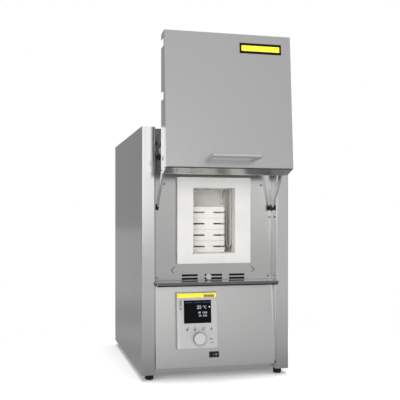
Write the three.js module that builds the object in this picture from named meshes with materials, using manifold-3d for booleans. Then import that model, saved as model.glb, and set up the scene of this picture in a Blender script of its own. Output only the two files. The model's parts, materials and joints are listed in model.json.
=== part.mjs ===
// Bench-top laboratory furnace with a lift door, shown with the door raised.
// Units are millimetres, +Z is up and the front faces -Y. While the pieces are made, y = 0 is the
// front face of the cabinet and z = 0 is the bench. At the end the furnace is moved along Y, so that
// the origin lies on the bench under the middle of the whole object.
import * as THREE from 'three';
import { mergeVertices } from 'three/addons/utils/BufferGeometryUtils.js';
import Module from 'manifold-3d';

const wasm = await Module();
wasm.setup();

// Cabinet
const cabinetWidth = 470;
const cabinetDepth = 650;
const headroom = 109.2;
const footHeight = 18;
const sheet = 1.5;
const bendRadius = 2.5;
const flangeRadius = 4.5;
const cornerCut = 2.2;
const seat = 0.3;
const overrun = 5;
const flangeWidth = 42;
const recessDepth = 42;
const plateLip = 15;
const rearLip = 18;
const coverRim = 18;
const trayRim = 26;
const footRadius = 13;
const footInset = 28;
const footChamfer = 3;

// Sill under the door and sloping control panel
const sillStep = 11;
const sillReach = 28;
const sillLip = 8.7;
const panelBottom = 34;
const panelBottomSetback = 6.5;
const panelTopSetback = 25;
const panelSideGap = 2.2;
const panelReturn = 22;

// Insulation and chamber
const chamberWidth = 135;
const chamberHeight = 205;
const chamberRise = 84.5;
const chamberDepth = 155;
const collarSideWall = 51;
const collarEndWall = 32;
const collarProud = 12;
const collarThickness = 36;
const nicheDepth = 13;
const backThickness = 40;
const jacketSide = 42;
const jacketTop = 40;
const jacketBase = 46.4;
const jacketBack = 38;
const jacketSetback = 12;

// Heating elements, sensor and exhaust
const elementRadius = 4;
const terminalRadius = 6;
const elementSpacing = 56;
const elementFront = 84;
const elementGap = 2;
const elementBottomGap = 12;
const terminalHeight = 28;
const holderHeight = 14;
const holderMargin = 6;
const boreGap = 0.8;
const sensorRadius = 3.5;
const sensorHeadRadius = 10.5;
const sensorReach = 46;
const sensorInset = 20;
const exhaustOuterRadius = 16;
const exhaustInnerRadius = 12;
const exhaustProud = 12;

// Stack of charging saggars on the chamber floor
const saggarCount = 4;
const saggarWidth = 104;
const saggarDepth = 84;
const saggarHeight = 36.4;
const saggarWall = 5;
const saggarSetback = 67;
const saggarSlotWidth = 37;
const saggarSlotHeight = 4.5;
const saggarSlotDepth = 24;

// Air inlet slots with their slide
const slotHeight = 6.4;
const slotPitch = 10.6;
const slotBottom = 1.8;
const outerSlotLength = 51;
const middleSlotMargin = 16;
const slotGroupOffset = 76.5;
const slideTravel = 24;
const slideOverlap = 5;
const slideKnobPlace = 17;
const slideKnobRadius = 10;
const slideKnobLength = 10;
const slideStemRadius = 2.2;
const slideHeadRadius = 4.5;
const slideHeadHeight = 1.6;
const knobClearance = 1.5;

// Lift door
const doorSideGap = 2.5;
const doorSillGap = 2;
const doorSeatGap = 1;
const doorHeight = 406;
const doorTopDepth = 48;
const doorBottomDepth = 77;
const doorBottomBevel = 16;
const doorBevelDepth = 46;
const doorTopRise = 4;
const doorFrameSetback = 15;
const plugMargin = 16;
const plugSideMargin = 8;
const plugStep = 10;
const plugStepGap = 3.5;
const notchHeight = 23;
const notchDepth = 36;
const notchRise = 10;
const handleLength = 149.6;
const handleRadius = 6.2;
const handleReach = 64;
const handleRise = 24;
const handleFootRadius = 8.4;
const handleFootHeight = 1.6;

// Lift linkage, four arms on four fixed pivots
const armLength = 182;
const armWidth = 19;
const armThickness = 5;
const armGap = 2;
const pivotSetback = 16;
const doorPinRise = 44;
const pivotSpacing = 153;
const pinRadius = 4;
const bearingRadius = 8;
const retainerRadius = 6.4;
const boltHeadRadius = 6.5;
const boltHeadHeight = 1.6;
const raisedAngle = THREE.MathUtils.degToRad(50);
const closedAngle = THREE.MathUtils.degToRad(-91);

// Controller on the sloping panel, and mains switch
const controllerWidth = 128;
const controllerHeight = 172;
const controllerProud = 15;
const controllerEdge = 3;
const controllerPlace = 61.5;
const controllerHeadroom = 24;
const controllerBodyInset = 16;
const controllerBodyDepth = 34;
const displayWidth = 86;
const displayHeight = 70;
const displayThickness = 2;
const displayDrop = 24;
const displayOffset = 1;
const dialRadius = 18.5;
const dialHeight = 15;
const dialEdge = 2.5;
const dialEdgeShare = 0.3;
const dialRise = 31;
const dialOffset = 4;
const dialPress = 1.2;
const shaftRadius = 3;
const shaftLength = 24;
const switchWidth = 31;
const switchHeight = 18;
const switchProud = 2.5;
const switchBorder = 3.2;
const switchBodyDepth = 22;
const switchRise = 28;
const switchGap = 12;
const switchOffset = 55;
const rockerAngle = THREE.MathUtils.degToRad(8);
const rockerCrown = 2.4;
const rockerDepth = 9;
const rockerGap = 1;

// Rear side and inner works
const fanSize = 119;
const fanDepth = 25;
const fanBore = 112;
const fanHeight = 150;
const fanPlace = 95;
const fanBlades = 7;
const fanHubRadius = 24;
const fanTipGap = 2;
const fanHubSeat = 5;
const fanStrut = 5;
const fanAxleReach = 5;
const fanBladeThickness = 2.4;
const fanBladeShare = 1.2;
const fanBladePitch = THREE.MathUtils.degToRad(38);
const guardWire = 2.2;
const guardRings = 4;
const guardMargin = 4.4;
const glandPlace = 150;
const glandHeight = 70;
const glandRadius = 13;
const glandNeckRadius = 9.1;
const glandBoreRadius = 5.2;
const glandNutRadius = 11;
const glandTipRadius = 7.8;
const glandProud = 24;
const glandFlange = 6;
const glandNutSlope = 2.4;
const louvreCount = 8;
const louvreLength = 120;
const louvreHeight = 5;
const louvrePitch = 16;
const louvreBottom = 420;
const louvreApart = 16;
const ventCount = 9;
const ventLength = 70;
const ventWidth = 5;
const ventPitch = 14;
const transformerWidth = 130;
const transformerDepth = 110;
const transformerHeight = 120;
const transformerMargin = 58;
const transformerSetback = 240;
const coilWidth = 76;
const coreWindow = 19;
const coilBulge = 26;
const coreFoot = 24;
const sinkWidth = 110;
const sinkDepth = 70;
const sinkHeight = 150;
const sinkFin = 3;
const sinkFins = 9;
const sinkBase = 12;
const sinkSetback = 250;
const sinkMargin = 28;
const boardThickness = 2;
const boardMargin = 6;

// Materials, one colour family for each finish
const finish = {
  brushed: ['#b4b4b3', 0.38, 0.9],
  shaded: ['#9a9a99', 0.45, 0.9],
  polished: ['#c9cbcc', 0.22, 0.95],
  fibre: ['#e9e6dc', 0.95, 0],
  jacket: ['#d8d3c4', 0.98, 0],
  ceramic: ['#dedbd0', 0.85, 0],
  element: ['#3b3a36', 0.6, 0.3],
  black: ['#161616', 0.6, 0],
  silver: ['#c3c4c7', 0.45, 0.2],
  glass: ['#07080a', 0.12, 0],
  copper: ['#a4643a', 0.45, 0.6],
  board: ['#2c6b3f', 0.7, 0],
  core: ['#55575a', 0.6, 0.6],
};

// Shapes and booleans

function solidOf(geometry) {
  const bare = geometry.index ? geometry.toNonIndexed() : geometry.clone();
  bare.deleteAttribute('normal');
  bare.deleteAttribute('uv');
  const merged = mergeVertices(bare);
  return new wasm.Manifold(new wasm.Mesh({
    numProp: 3,
    vertProperties: new Float32Array(merged.attributes.position.array),
    triVerts: new Uint32Array(merged.index.array),
  }));
}

function geometryOf(solid) {
  const mesh = solid.getMesh();
  const geometry = new THREE.BufferGeometry();
  geometry.setAttribute('position', new THREE.BufferAttribute(new Float32Array(mesh.vertProperties), 3));
  geometry.setIndex(new THREE.BufferAttribute(new Uint32Array(mesh.triVerts), 1));
  return geometry;
}

function cut(geometry, ...tools) {
  let solid = solidOf(geometry);
  for (const tool of tools) solid = solid.subtract(solidOf(tool));
  return geometryOf(solid);
}

function join(geometry, ...others) {
  let solid = solidOf(geometry);
  for (const other of others) solid = solid.add(solidOf(other));
  return geometryOf(solid);
}

function block(x0, x1, y0, y1, z0, z1) {
  const box = new THREE.BoxGeometry(x1 - x0, y1 - y0, z1 - z0);
  return box.translate((x0 + x1) / 2, (y0 + y1) / 2, (z0 + z1) / 2);
}

// A block centred on x = 0
function midBlock(half, y0, y1, z0, z1) {
  return block(-half, half, y0, y1, z0, z1);
}

function outline(points) {
  return new THREE.Shape(points.map(([a, b]) => new THREE.Vector2(a, b)));
}

function placed(geometry, right, up, ahead, origin) {
  const matrix = new THREE.Matrix4().makeBasis(right, up, ahead).setPosition(origin);
  return geometry.applyMatrix4(matrix);
}

const axisX = new THREE.Vector3(1, 0, 0);
const axisY = new THREE.Vector3(0, 1, 0);
const axisZ = new THREE.Vector3(0, 0, 1);

// An outline in y and z, drawn out along X from x0 to x1
function alongX(points, x0, x1) {
  const body = new THREE.ExtrudeGeometry(outline(points), { depth: x1 - x0, bevelEnabled: false });
  return placed(body, axisY, axisZ, axisX, new THREE.Vector3(x0, 0, 0));
}

// An outline in x and y, drawn upwards from z0 to z1
function upwards(points, z0, z1) {
  const body = new THREE.ExtrudeGeometry(outline(points), { depth: z1 - z0, bevelEnabled: false });
  return body.translate(0, 0, z0);
}

// A turned piece: the profile holds [radius, distance along the axis] pairs
function turned(profile, axis, sides = 24) {
  const body = new THREE.LatheGeometry(profile.map(([r, h]) => new THREE.Vector2(r, h)), sides);
  const turn = new THREE.Quaternion().setFromUnitVectors(axisY, axis);
  return body.applyQuaternion(turn);
}

function rod(radius, length, axis, sides = 24) {
  return turned([[0, 0], [radius, 0], [radius, length], [0, length]], axis, sides);
}

// Rounds the corners of an open path with arcs, all of one radius or each of its own
function rounded(path, radii, steps = 4) {
  const out = [path[0]];
  for (let i = 1; i < path.length - 1; i++) {
    const radius = Array.isArray(radii) ? radii[i - 1] : radii;
    const corner = new THREE.Vector2(...path[i]);
    const before = new THREE.Vector2(...path[i - 1]).sub(corner).normalize().multiplyScalar(radius);
    const after = new THREE.Vector2(...path[i + 1]).sub(corner).normalize().multiplyScalar(radius);
    const bend = new THREE.QuadraticBezierCurve(before.add(corner), corner, after.add(corner));
    for (const point of bend.getPoints(steps)) out.push([point.x, point.y]);
  }
  out.push(path[path.length - 1]);
  return out;
}

// The path moved sideways by a distance, to its left as it runs
function offset(path, distance) {
  const side = (a, b) => {
    const run = new THREE.Vector2(b[0] - a[0], b[1] - a[1]).normalize();
    return new THREE.Vector2(-run.y, run.x);
  };
  return path.map((point, i) => {
    const first = side(path[Math.max(i - 1, 0)], path[Math.max(i, 1)]);
    const next = side(path[Math.min(i, path.length - 2)], path[Math.min(i + 1, path.length - 1)]);
    const middle = first.clone().add(next).normalize();
    const reach = distance / middle.dot(next);
    return [point[0] + middle.x * reach, point[1] + middle.y * reach];
  });
}

// The outline of sheet metal folded along a path, its thickness on the left side of the path
function folded(path, thickness, radii = bendRadius) {
  const face = rounded(path, radii);
  return [...face, ...offset(face, thickness).reverse()];
}

// A round wire along a smooth line through the points
function tube(points, radius, sides, steps) {
  const section = new THREE.Shape();
  section.absarc(0, 0, radius, 0, 2 * Math.PI);
  return new THREE.ExtrudeGeometry(section, {
    extrudePath: new THREE.CatmullRomCurve3(points),
    steps,
    curveSegments: sides,
    bevelEnabled: false,
  });
}

const furnace = new THREE.Group();

function piece(name, geometry, look, parent = furnace) {
  const [color, roughness, metalness] = finish[look];
  geometry.computeVertexNormals();
  const mesh = new THREE.Mesh(geometry, new THREE.MeshStandardMaterial({ color, roughness, metalness }));
  mesh.name = name;
  parent.add(mesh);
  return mesh;
}

function mirrored(geometry) {
  const copy = geometry.clone().scale(-1, 1, 1);
  copy.index.array.reverse();
  return copy;
}

// Makes the right-hand piece as given and the left-hand one as its mirror image
function pair(name, geometry, look, parent = furnace) {
  piece(`${name}_right`, geometry, look, parent);
  piece(`${name}_left`, mirrored(geometry), look, parent);
}

// Places that several pieces share
const halfWidth = cabinetWidth / 2;
const wallX = halfWidth - flangeWidth;
const innerHalf = halfWidth - sheet - seat;
const plateFace = recessDepth;
const plateBack = plateFace + sheet;
const lipFace = plateBack + seat;
const rearFace = cabinetDepth - 2 * sheet - seat;
const controllerRise = switchRise + switchHeight + switchGap;
const panelTop = panelBottom + controllerRise + controllerHeight + controllerHeadroom;
const sillHeight = panelTop + sillStep;
const chamberFloor = sillHeight + chamberRise;
const collarHalf = chamberWidth / 2 + collarSideWall;
const collarBottom = chamberFloor - collarEndWall;
const chamberTop = chamberFloor + chamberHeight;
const collarTop = chamberTop + collarEndWall;
const collarFace = plateFace - collarProud;
const collarBack = collarFace + collarThickness;
const nicheHalf = chamberWidth / 2 + nicheDepth;
const chamberBack = collarFace + chamberDepth;
const backFace = chamberBack + backThickness;
const jacketHalf = collarHalf + seat + jacketSide;
const jacketBottom = collarBottom - seat - jacketBase;
const deckHeight = jacketBottom - seat - sheet;
const jacketCeiling = collarTop + seat;
const jacketCrown = jacketCeiling + jacketTop;
const jacketFront = plateBack + jacketSetback;
const jacketRear = backFace + seat + jacketBack;
const cabinetHeight = jacketCrown + headroom;
const exhaustY = (collarBack + chamberBack) / 2;
const elementX = chamberWidth / 2 + elementGap;
const ventStart = chamberBack + ventWidth;
const trayTop = footHeight + sheet;
const panelLean = Math.atan2(panelTopSetback - panelBottomSetback, panelTop - panelBottom);
const trayFront = panelBottomSetback + panelReturn * Math.cos(panelLean)
  + (footHeight + trayRim - panelBottom) * Math.tan(panelLean) + seat;

// Side panel: one sheet folded round the rear lip, the side, the front flange and the recess wall,
// with a lip that the front plate lies on
function sidePanel() {
  const path = [
    [halfWidth - rearLip, cabinetDepth],
    [halfWidth, cabinetDepth],
    [halfWidth, 0],
    [wallX, 0],
    [wallX, lipFace],
  ];
  const bends = [bendRadius, flangeRadius, flangeRadius];
  const wall = upwards(folded(path, -sheet, bends), footHeight, cabinetHeight);
  const lip = block(wallX - plateLip, wallX + sheet, lipFace, lipFace + sheet,
    sillHeight + seat, cabinetHeight - coverRim - seat);
  return join(wall, lip);
}

pair('side_panel', sidePanel(), 'shaded');

function foot(x, y) {
  const profile = [[0, 0], [footRadius - footChamfer, 0], [footRadius, footChamfer], [footRadius,
    footHeight - seat],
    [0, footHeight - seat]];
  return turned(profile, axisZ).translate(x, y, 0);
}

for (const [row, y] of [['front', footInset], ['rear', cabinetDepth - footInset]]) {
  for (const [side, sign] of [['left', -1], ['right', 1]]) {
    piece(`foot_${row}_${side}`, foot(sign * (halfWidth - footInset), y), 'black');
  }
}

// The front corners of a pan that fits behind a flange, cut off to clear the bends of the side panel
function pocketCorners(inset) {
  const front = sheet + seat + inset;
  const inner = wallX + sheet + seat + inset;
  const outer = innerHalf - inset;
  return [
    [inner, front + cornerCut], [inner + cornerCut, front],
    [outer - cornerCut, front], [outer, front + cornerCut],
  ];
}

// Base tray with an upturned rim, stepped in between the recess walls of the side panels
const shoulder = lipFace + sheet + seat;

function trayOutline(inset) {
  const right = [
    [wallX - seat - inset, trayFront + inset], [wallX - seat - inset, shoulder + inset],
    [wallX + sheet + seat + inset, shoulder + inset], ...pocketCorners(inset),
    [innerHalf - inset, rearFace - seat - inset],
  ];
  return [...right, ...right.map(([x, y]) => [-x, y]).reverse()];
}

const baseTray = cut(
  upwards(trayOutline(0), footHeight, footHeight + trayRim),
  upwards(trayOutline(sheet), trayTop, footHeight + trayRim + overrun),
);
piece('base_tray', baseTray, 'shaded');

// Rear panel with louvres, the fan opening and the cable gland hole
function rearPanel() {
  const panel = midBlock(innerHalf, rearFace, rearFace + sheet, footHeight + seat,
    cabinetHeight - coverRim - seat);
  const tools = [
    rod(fanBore / 2, sheet + 2 * overrun, axisY, 32).translate(fanPlace, rearFace - overrun, fanHeight),
    rod(glandNeckRadius + seat, sheet + 2 * overrun, axisY, 20)
      .translate(-glandPlace, rearFace - overrun, glandHeight),
  ];
  for (const sign of [-1, 1]) {
    for (let i = 0; i < louvreCount; i++) {
      const x = sign * (louvreLength / 2 + louvreApart);
      const z = louvreBottom + i * louvrePitch;
      tools.push(block(x - louvreLength / 2, x + louvreLength / 2, rearFace - overrun,
        rearFace + sheet + overrun,
        z, z + louvreHeight));
    }
  }
  return cut(panel, ...tools);
}

piece('rear_panel', rearPanel(), 'shaded');

// Top cover: a pan let in between the side panels, open over the door recess
function topCover() {
  const top = cabinetHeight;
  const bottom = cabinetHeight - coverRim;
  const rear = cabinetDepth - sheet - seat;
  const wall = wallX + sheet + seat;
  const step = plateFace;
  const notched = (inset, z0, z1) => {
    const right = [[wall + inset, step + inset], ...pocketCorners(inset), [innerHalf - inset, rear - inset]];
    return upwards([...right, ...right.map(([x, y]) => [-x, y]).reverse()], z0, z1);
  };
  const tools = [
    notched(sheet, bottom - overrun, top - sheet),
    rod(exhaustOuterRadius + seat, coverRim + 2 * overrun, axisZ, 24)
      .translate(0, exhaustY, bottom - overrun),
  ];
  for (const sign of [-1, 1]) {
    for (let i = 0; i < ventCount; i++) {
      const y = ventStart + i * ventPitch;
      const x = sign * (elementX + ventLength / 2);
      tools.push(block(x - ventLength / 2, x + ventLength / 2, y, y + ventWidth, bottom - overrun,
        top + overrun));
    }
  }
  const pan = cut(notched(0, bottom, top), ...tools);
  // The side panels' recess walls run up between the rim's ears
  return cut(pan, ...[-1, 1].map((sign) => block(
    sign * (wallX + sheet / 2) - sheet / 2 - seat, sign * (wallX + sheet / 2) + sheet / 2 + seat,
    -overrun, lipFace + sheet + seat, bottom - overrun, top + overrun,
  )));
}

piece('top_cover', topCover(), 'brushed');

// Front plate of the recess, with the window for the chamber collar and the air slots
const slotRows = [sillHeight + slotBottom, sillHeight + slotBottom + slotPitch];
const middleSlotLength = slideTravel + 2 * middleSlotMargin;
const slotGroups = [
  [-slotGroupOffset, outerSlotLength],
  [0, middleSlotLength],
  [slotGroupOffset, outerSlotLength],
];

function slotTools(y0, y1, shift = 0) {
  return slotRows.flatMap((z) => slotGroups.map(([x, length]) => block(
    x + shift - length / 2, x + shift + length / 2, y0, y1, z, z + slotHeight,
  )));
}

const frontPlate = cut(
  midBlock(wallX - seat, plateFace, plateBack, sillHeight + seat, cabinetHeight - coverRim - seat),
  midBlock(collarHalf + seat, plateFace - overrun, plateBack + overrun, collarBottom - seat,
    collarTop + seat),
  ...slotTools(plateFace - overrun, plateBack + overrun),
);
piece('front_plate', frontPlate, 'polished');

// Sill: a shelf folded down at its front edge, and at its rear edge down onto the control panel
const sillRear = plateBack + seat;
const sill = alongX(folded([
  [sillRear, panelTop - (sillRear - panelTopSetback) * Math.tan(panelLean) + seat],
  [sillRear, sillHeight],
  [-sillReach, sillHeight],
  [-sillReach, sillHeight - sillLip],
], sheet), -wallX + seat, wallX - seat);
piece('sill', sill, 'polished');

// Control panel: a pan that slopes forward towards its foot
const panelHeight = (panelTop - panelBottom) / Math.cos(panelLean);
const panelHalf = wallX - panelSideGap;
const panel = new THREE.Group();
panel.position.set(0, panelBottomSetback, panelBottom);
panel.rotation.x = -panelLean;
furnace.add(panel);

// Places on the panel: x to the right, y into the cabinet and z up its slope
const controllerX = -controllerPlace;
const controllerZ = controllerRise + controllerHeight / 2;
const controllerFace = -controllerProud;
const switchX = controllerX + switchOffset;
const switchZ = switchRise + switchHeight / 2;
const rockerHalf = switchWidth / 2 - switchBorder - sheet - rockerGap;
const rockerRise = switchHeight / 2 - switchBorder - sheet;
const bodyHalfWidth = controllerWidth / 2 - controllerBodyInset;
const bodyHalfHeight = controllerHeight / 2 - controllerBodyInset;

const controlPanel = cut(
  midBlock(panelHalf, 0, panelReturn, 0, panelHeight),
  midBlock(panelHalf - sheet, sheet, panelReturn + overrun, sheet, panelHeight - sheet),
  block(controllerX - bodyHalfWidth - seat, controllerX + bodyHalfWidth + seat, -overrun, sheet + overrun,
    controllerZ - bodyHalfHeight - seat, controllerZ + bodyHalfHeight + seat),
  block(switchX - switchWidth / 2 + switchBorder - seat, switchX + switchWidth / 2 - switchBorder + seat,
    -overrun, sheet + overrun, switchZ - switchHeight / 2 + switchBorder - seat,
    switchZ + switchHeight / 2 - switchBorder + seat),
);
piece('control_panel', controlPanel, 'brushed', panel);

// Controller: a shallow case with softened edges, its body reaching through the panel
const dialX = controllerX + dialOffset;
const dialZ = controllerZ - controllerHeight / 2 + dialRise;
const displayX = controllerX + displayOffset;
const displayZ = controllerZ + controllerHeight / 2 - displayDrop - displayHeight / 2;

function controllerCase() {
  const w = controllerWidth / 2 - controllerEdge;
  const h = controllerHeight / 2 - controllerEdge;
  const face = new THREE.ExtrudeGeometry(outline([[-w, -h], [w, -h], [w, h], [-w, h]]), {
    depth: controllerProud - controllerEdge - seat, bevelSize: controllerEdge,
      bevelThickness: controllerEdge,
    bevelSegments: 3, bevelEnabled: true,
  });
  placed(face, axisX, axisZ, axisY.clone().negate(), new THREE.Vector3(controllerX, -seat, controllerZ));
  const trimmed = cut(face, block(controllerX - controllerWidth, controllerX + controllerWidth,
    -seat, controllerBodyDepth, controllerZ - controllerHeight, controllerZ + controllerHeight));
  const body = block(controllerX - bodyHalfWidth, controllerX + bodyHalfWidth, -seat - sheet,
    controllerBodyDepth,
    controllerZ - bodyHalfHeight, controllerZ + bodyHalfHeight);
  const window = block(displayX - displayWidth / 2 - seat, displayX + displayWidth / 2 + seat,
    controllerFace - overrun, controllerFace + displayThickness + seat,
    displayZ - displayHeight / 2 - seat, displayZ + displayHeight / 2 + seat);
  const bore = rod(shaftRadius + seat, shaftLength + overrun, axisY, 20)
    .translate(dialX, controllerFace - overrun, dialZ);
  return cut(join(trimmed, body), window, bore);
}

piece('controller_case', controllerCase(), 'silver', panel);

const displayGlass = block(displayX - displayWidth / 2, displayX + displayWidth / 2,
  controllerFace + seat, controllerFace + displayThickness,
  displayZ - displayHeight / 2, displayZ + displayHeight / 2);
piece('controller_display', displayGlass, 'glass', panel);

// Jog dial on the shaft of its encoder: the dial turns, and the shaft is pressed in
const shaftFace = controllerFace - dialHeight / 2 - dialPress;
const encoderShaft = rod(shaftRadius, shaftLength, axisY, 20).translate(dialX, shaftFace, dialZ);
piece('encoder_shaft', encoderShaft, 'polished', panel);

function controlDial() {
  const foot = controllerFace - dialPress - seat;
  const face = foot - dialHeight;
  const profile = [[0, 0], [dialRadius - dialEdge, 0], [dialRadius - dialEdge * dialEdgeShare,
    dialEdge * dialEdgeShare],
    [dialRadius, dialEdge], [dialRadius, dialHeight], [0, dialHeight]];
  const cap = turned(profile, axisY, 40).translate(dialX, face, dialZ);
  return cut(cap, rod(shaftRadius + seat, shaftLength, axisY, 20)
    .translate(dialX, shaftFace - seat, dialZ));
}

piece('control_dial', controlDial(), 'silver', panel);

const controllerBoard = block(controllerX - bodyHalfWidth + boardMargin,
  controllerX + bodyHalfWidth - boardMargin,
  controllerBodyDepth + seat, controllerBodyDepth + seat + boardThickness,
  controllerZ - bodyHalfHeight + boardMargin, controllerZ + bodyHalfHeight - boardMargin);
piece('controller_board', controllerBoard, 'board', panel);

// Mains switch: a frame with a rocker that tips about an upright pin
function switchFrame() {
  const border = block(switchX - switchWidth / 2, switchX + switchWidth / 2, -switchProud, -seat,
    switchZ - switchHeight / 2, switchZ + switchHeight / 2);
  const body = block(switchX - switchWidth / 2 + switchBorder, switchX + switchWidth / 2 - switchBorder,
    -switchProud, switchBodyDepth, switchZ - switchHeight / 2 + switchBorder,
      switchZ + switchHeight / 2 - switchBorder);
  const well = block(switchX - rockerHalf - rockerGap, switchX + rockerHalf + rockerGap,
    -switchProud - overrun,
    switchBodyDepth / 2 + rockerDepth / 2, switchZ - rockerRise - seat, switchZ + rockerRise + seat);
  return cut(join(border, body), well);
}

piece('switch_frame', switchFrame(), 'black', panel);

const rockerPivot = new THREE.Group();
rockerPivot.position.set(switchX, rockerDepth / 2, switchZ);
rockerPivot.rotation.z = rockerAngle;
panel.add(rockerPivot);
const rockerOutline = [
  [-rockerHalf, -rockerDepth / 2 - switchProud - rockerCrown],
  [0, -rockerDepth / 2 - switchProud],
  [rockerHalf, -rockerDepth / 2 - switchProud - rockerCrown],
  [rockerHalf / 2, rockerDepth / 2],
  [-rockerHalf / 2, rockerDepth / 2],
];
piece('switch_rocker', upwards(rockerOutline, -rockerRise, rockerRise), 'black', rockerPivot);

// Chamber: collar in the front plate, then boards on all sides with a niche for the elements
const collar = cut(
  midBlock(collarHalf, collarFace, collarBack, collarBottom, collarTop),
  midBlock(chamberWidth / 2, collarFace - overrun, collarBack + overrun, chamberFloor, chamberTop),
);
piece('chamber_collar', collar, 'fibre');

const boardFront = collarBack + seat;
const chamberWall = block(nicheHalf, collarHalf, boardFront, backFace, collarBottom, collarTop);
pair('chamber_wall', chamberWall, 'fibre');
const boardHalf = nicheHalf - seat;
piece('chamber_floor_board', midBlock(boardHalf, boardFront, backFace, collarBottom, chamberFloor),
  'fibre');
piece('chamber_back_board',
  midBlock(boardHalf, chamberBack, backFace, chamberFloor + seat, chamberTop - seat), 'fibre');

// Heating elements: a U of thin rod with thick terminals that pass up through the roof
const elementBottom = chamberFloor + elementBottomGap;
const elementRear = elementFront + elementSpacing;
const terminalFoot = chamberTop + collarEndWall / 2;
const terminalTop = jacketCrown + holderHeight + terminalHeight;
const sensorX = nicheHalf - sensorInset;
const sensorY = chamberBack - sensorInset;

function heatingElement() {
  const radius = elementSpacing / 2;
  const middle = elementFront + radius;
  const bendZ = elementBottom + elementRadius + radius;
  const points = [];
  const bendSteps = 14;
  const legSteps = 3;
  const wireTop = terminalFoot + terminalRadius;
  for (let i = 0; i < legSteps; i++) {
    points.push(new THREE.Vector3(elementX, elementFront, wireTop + (bendZ - wireTop) * i / legSteps));
  }
  for (let i = 0; i <= bendSteps; i++) {
    const angle = Math.PI * i / bendSteps;
    points.push(new THREE.Vector3(elementX, middle - radius * Math.cos(angle),
      bendZ - radius * Math.sin(angle)));
  }
  for (let i = 1; i <= legSteps; i++) {
    points.push(new THREE.Vector3(elementX, elementRear, bendZ + (wireTop - bendZ) * i / legSteps));
  }
  const wire = tube(points, elementRadius, 5, 48);
  const terminals = [elementFront, elementRear].map((y) => rod(terminalRadius, terminalTop - terminalFoot,
    axisZ, 14)
    .translate(elementX, y, terminalFoot));
  return join(wire, ...terminals);
}

pair('heating_element', heatingElement(), 'element');

// Bores for the terminals, the sensor and the exhaust through whatever lies in the roof
function roofBores(z0, z1) {
  const bores = [-1, 1].flatMap((sign) => [elementFront, elementRear].map((y) => (
    rod(terminalRadius + boreGap, z1 - z0, axisZ, 14).translate(sign * elementX, y, z0))));
  return [
    ...bores,
    rod(sensorRadius + boreGap, z1 - z0, axisZ, 14).translate(sensorX, sensorY, z0),
    rod(exhaustOuterRadius + seat, z1 - z0, axisZ, 24).translate(0, exhaustY, z0),
  ];
}

const roofBoard = cut(
  midBlock(boardHalf, boardFront, backFace, chamberTop, collarTop),
  ...roofBores(chamberTop - overrun, collarTop + overrun),
);
piece('chamber_roof_board', roofBoard, 'fibre');

// Jacket of softer insulation round the boards, open at the front
const jacket = cut(
  midBlock(jacketHalf, jacketFront, jacketRear, jacketBottom, jacketCrown),
  midBlock(collarHalf + seat, jacketFront - overrun, backFace + seat, collarBottom - seat, jacketCeiling),
  ...roofBores(jacketCeiling - overrun, jacketCrown + overrun),
);
piece('insulation_jacket', jacket, 'jacket');

// Ceramic holders on the jacket, each round the two terminals of an element
const holderHalf = terminalRadius + holderMargin;
const holder = cut(
  block(elementX - holderHalf, elementX + holderHalf, elementFront - holderHalf, elementRear + holderHalf,
    jacketCrown + seat, jacketCrown + holderHeight),
  ...[elementFront, elementRear].map((y) => rod(terminalRadius + seat, holderHeight + 2 * overrun, axisZ,
    14)
    .translate(elementX, y, jacketCrown - overrun)),
);
pair('element_holder', holder, 'ceramic');

// Temperature sensor: a ceramic sheath that hangs into the chamber, with its head on the jacket
const sensorTip = chamberTop - sensorReach;
const sensorTop = jacketCrown + holderHeight + terminalHeight / 2;
const thermocouple = turned([
  [0, sensorTip], [sensorRadius / 2, sensorTip], [sensorRadius, sensorTip + sensorRadius],
  [sensorRadius, jacketCrown + seat], [sensorHeadRadius, jacketCrown + seat], [sensorHeadRadius, sensorTop],
  [0, sensorTop],
], axisZ, 16).translate(sensorX, sensorY, 0);
piece('thermocouple', thermocouple, 'ceramic');

// Exhaust pipe from the chamber roof to just above the top cover
const exhaustPipe = turned([
  [exhaustInnerRadius, chamberTop + seat], [exhaustOuterRadius, chamberTop + seat],
  [exhaustOuterRadius, cabinetHeight + exhaustProud], [exhaustInnerRadius, cabinetHeight + exhaustProud],
  [exhaustInnerRadius, chamberTop + seat],
], axisZ, 24).translate(0, exhaustY, 0);
piece('exhaust_pipe', exhaustPipe, 'polished');

// Deck between the hot upper part and the electrical lower part
const deckFront = jacketFront - seat;
piece('middle_deck', midBlock(innerHalf, deckFront, rearFace - seat, deckHeight, deckHeight + sheet),
  'shaded');

// Saggars: open trays with slots cut through their corners, stacked on the chamber floor
function saggar(z) {
  const front = collarFace + saggarSetback;
  const half = saggarWidth / 2;
  const rear = front + saggarDepth;
  const slotZ = z + (saggarHeight - saggarSlotHeight) / 2;
  const reaches = [[front - overrun, front + saggarSlotDepth], [rear - saggarSlotDepth, rear + overrun]];
  const slots = [-1, 1].flatMap((sign) => reaches.map(([y0, y1]) => {
    const inner = sign * (half - saggarSlotWidth);
    const outer = sign * (half + overrun);
    return block(Math.min(inner, outer), Math.max(inner, outer), y0, y1, slotZ, slotZ + saggarSlotHeight);
  }));
  return cut(
    midBlock(half, front, rear, z, z + saggarHeight),
    midBlock(half - saggarWall, front + saggarWall, rear - saggarWall, z + saggarWall,
      z + saggarHeight + overrun),
    ...slots,
  );
}

for (let i = 0; i < saggarCount; i++) {
  piece(`saggar_${i + 1}`, saggar(chamberFloor + seat + i * (saggarHeight + seat)), 'ceramic');
}

// Air slide: a slotted plate behind the front plate, moved by a knob between the middle slots
const slideHalf = slotGroupOffset + outerSlotLength / 2 + slideOverlap;
const slideKnobX = -slideKnobPlace;
const slideKnobFace = plateFace - seat - slideKnobLength;
const slideFace = plateBack + seat;
const slideBack = slideFace + sheet;
const slidePlate = cut(
  midBlock(slideHalf, slideFace, slideBack, sillHeight + 2 * seat, slotRows[1] + slotHeight + slideOverlap),
  ...slotTools(slideFace - overrun, slideBack + overrun),
);
piece('air_slide', slidePlate, 'polished');

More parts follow.
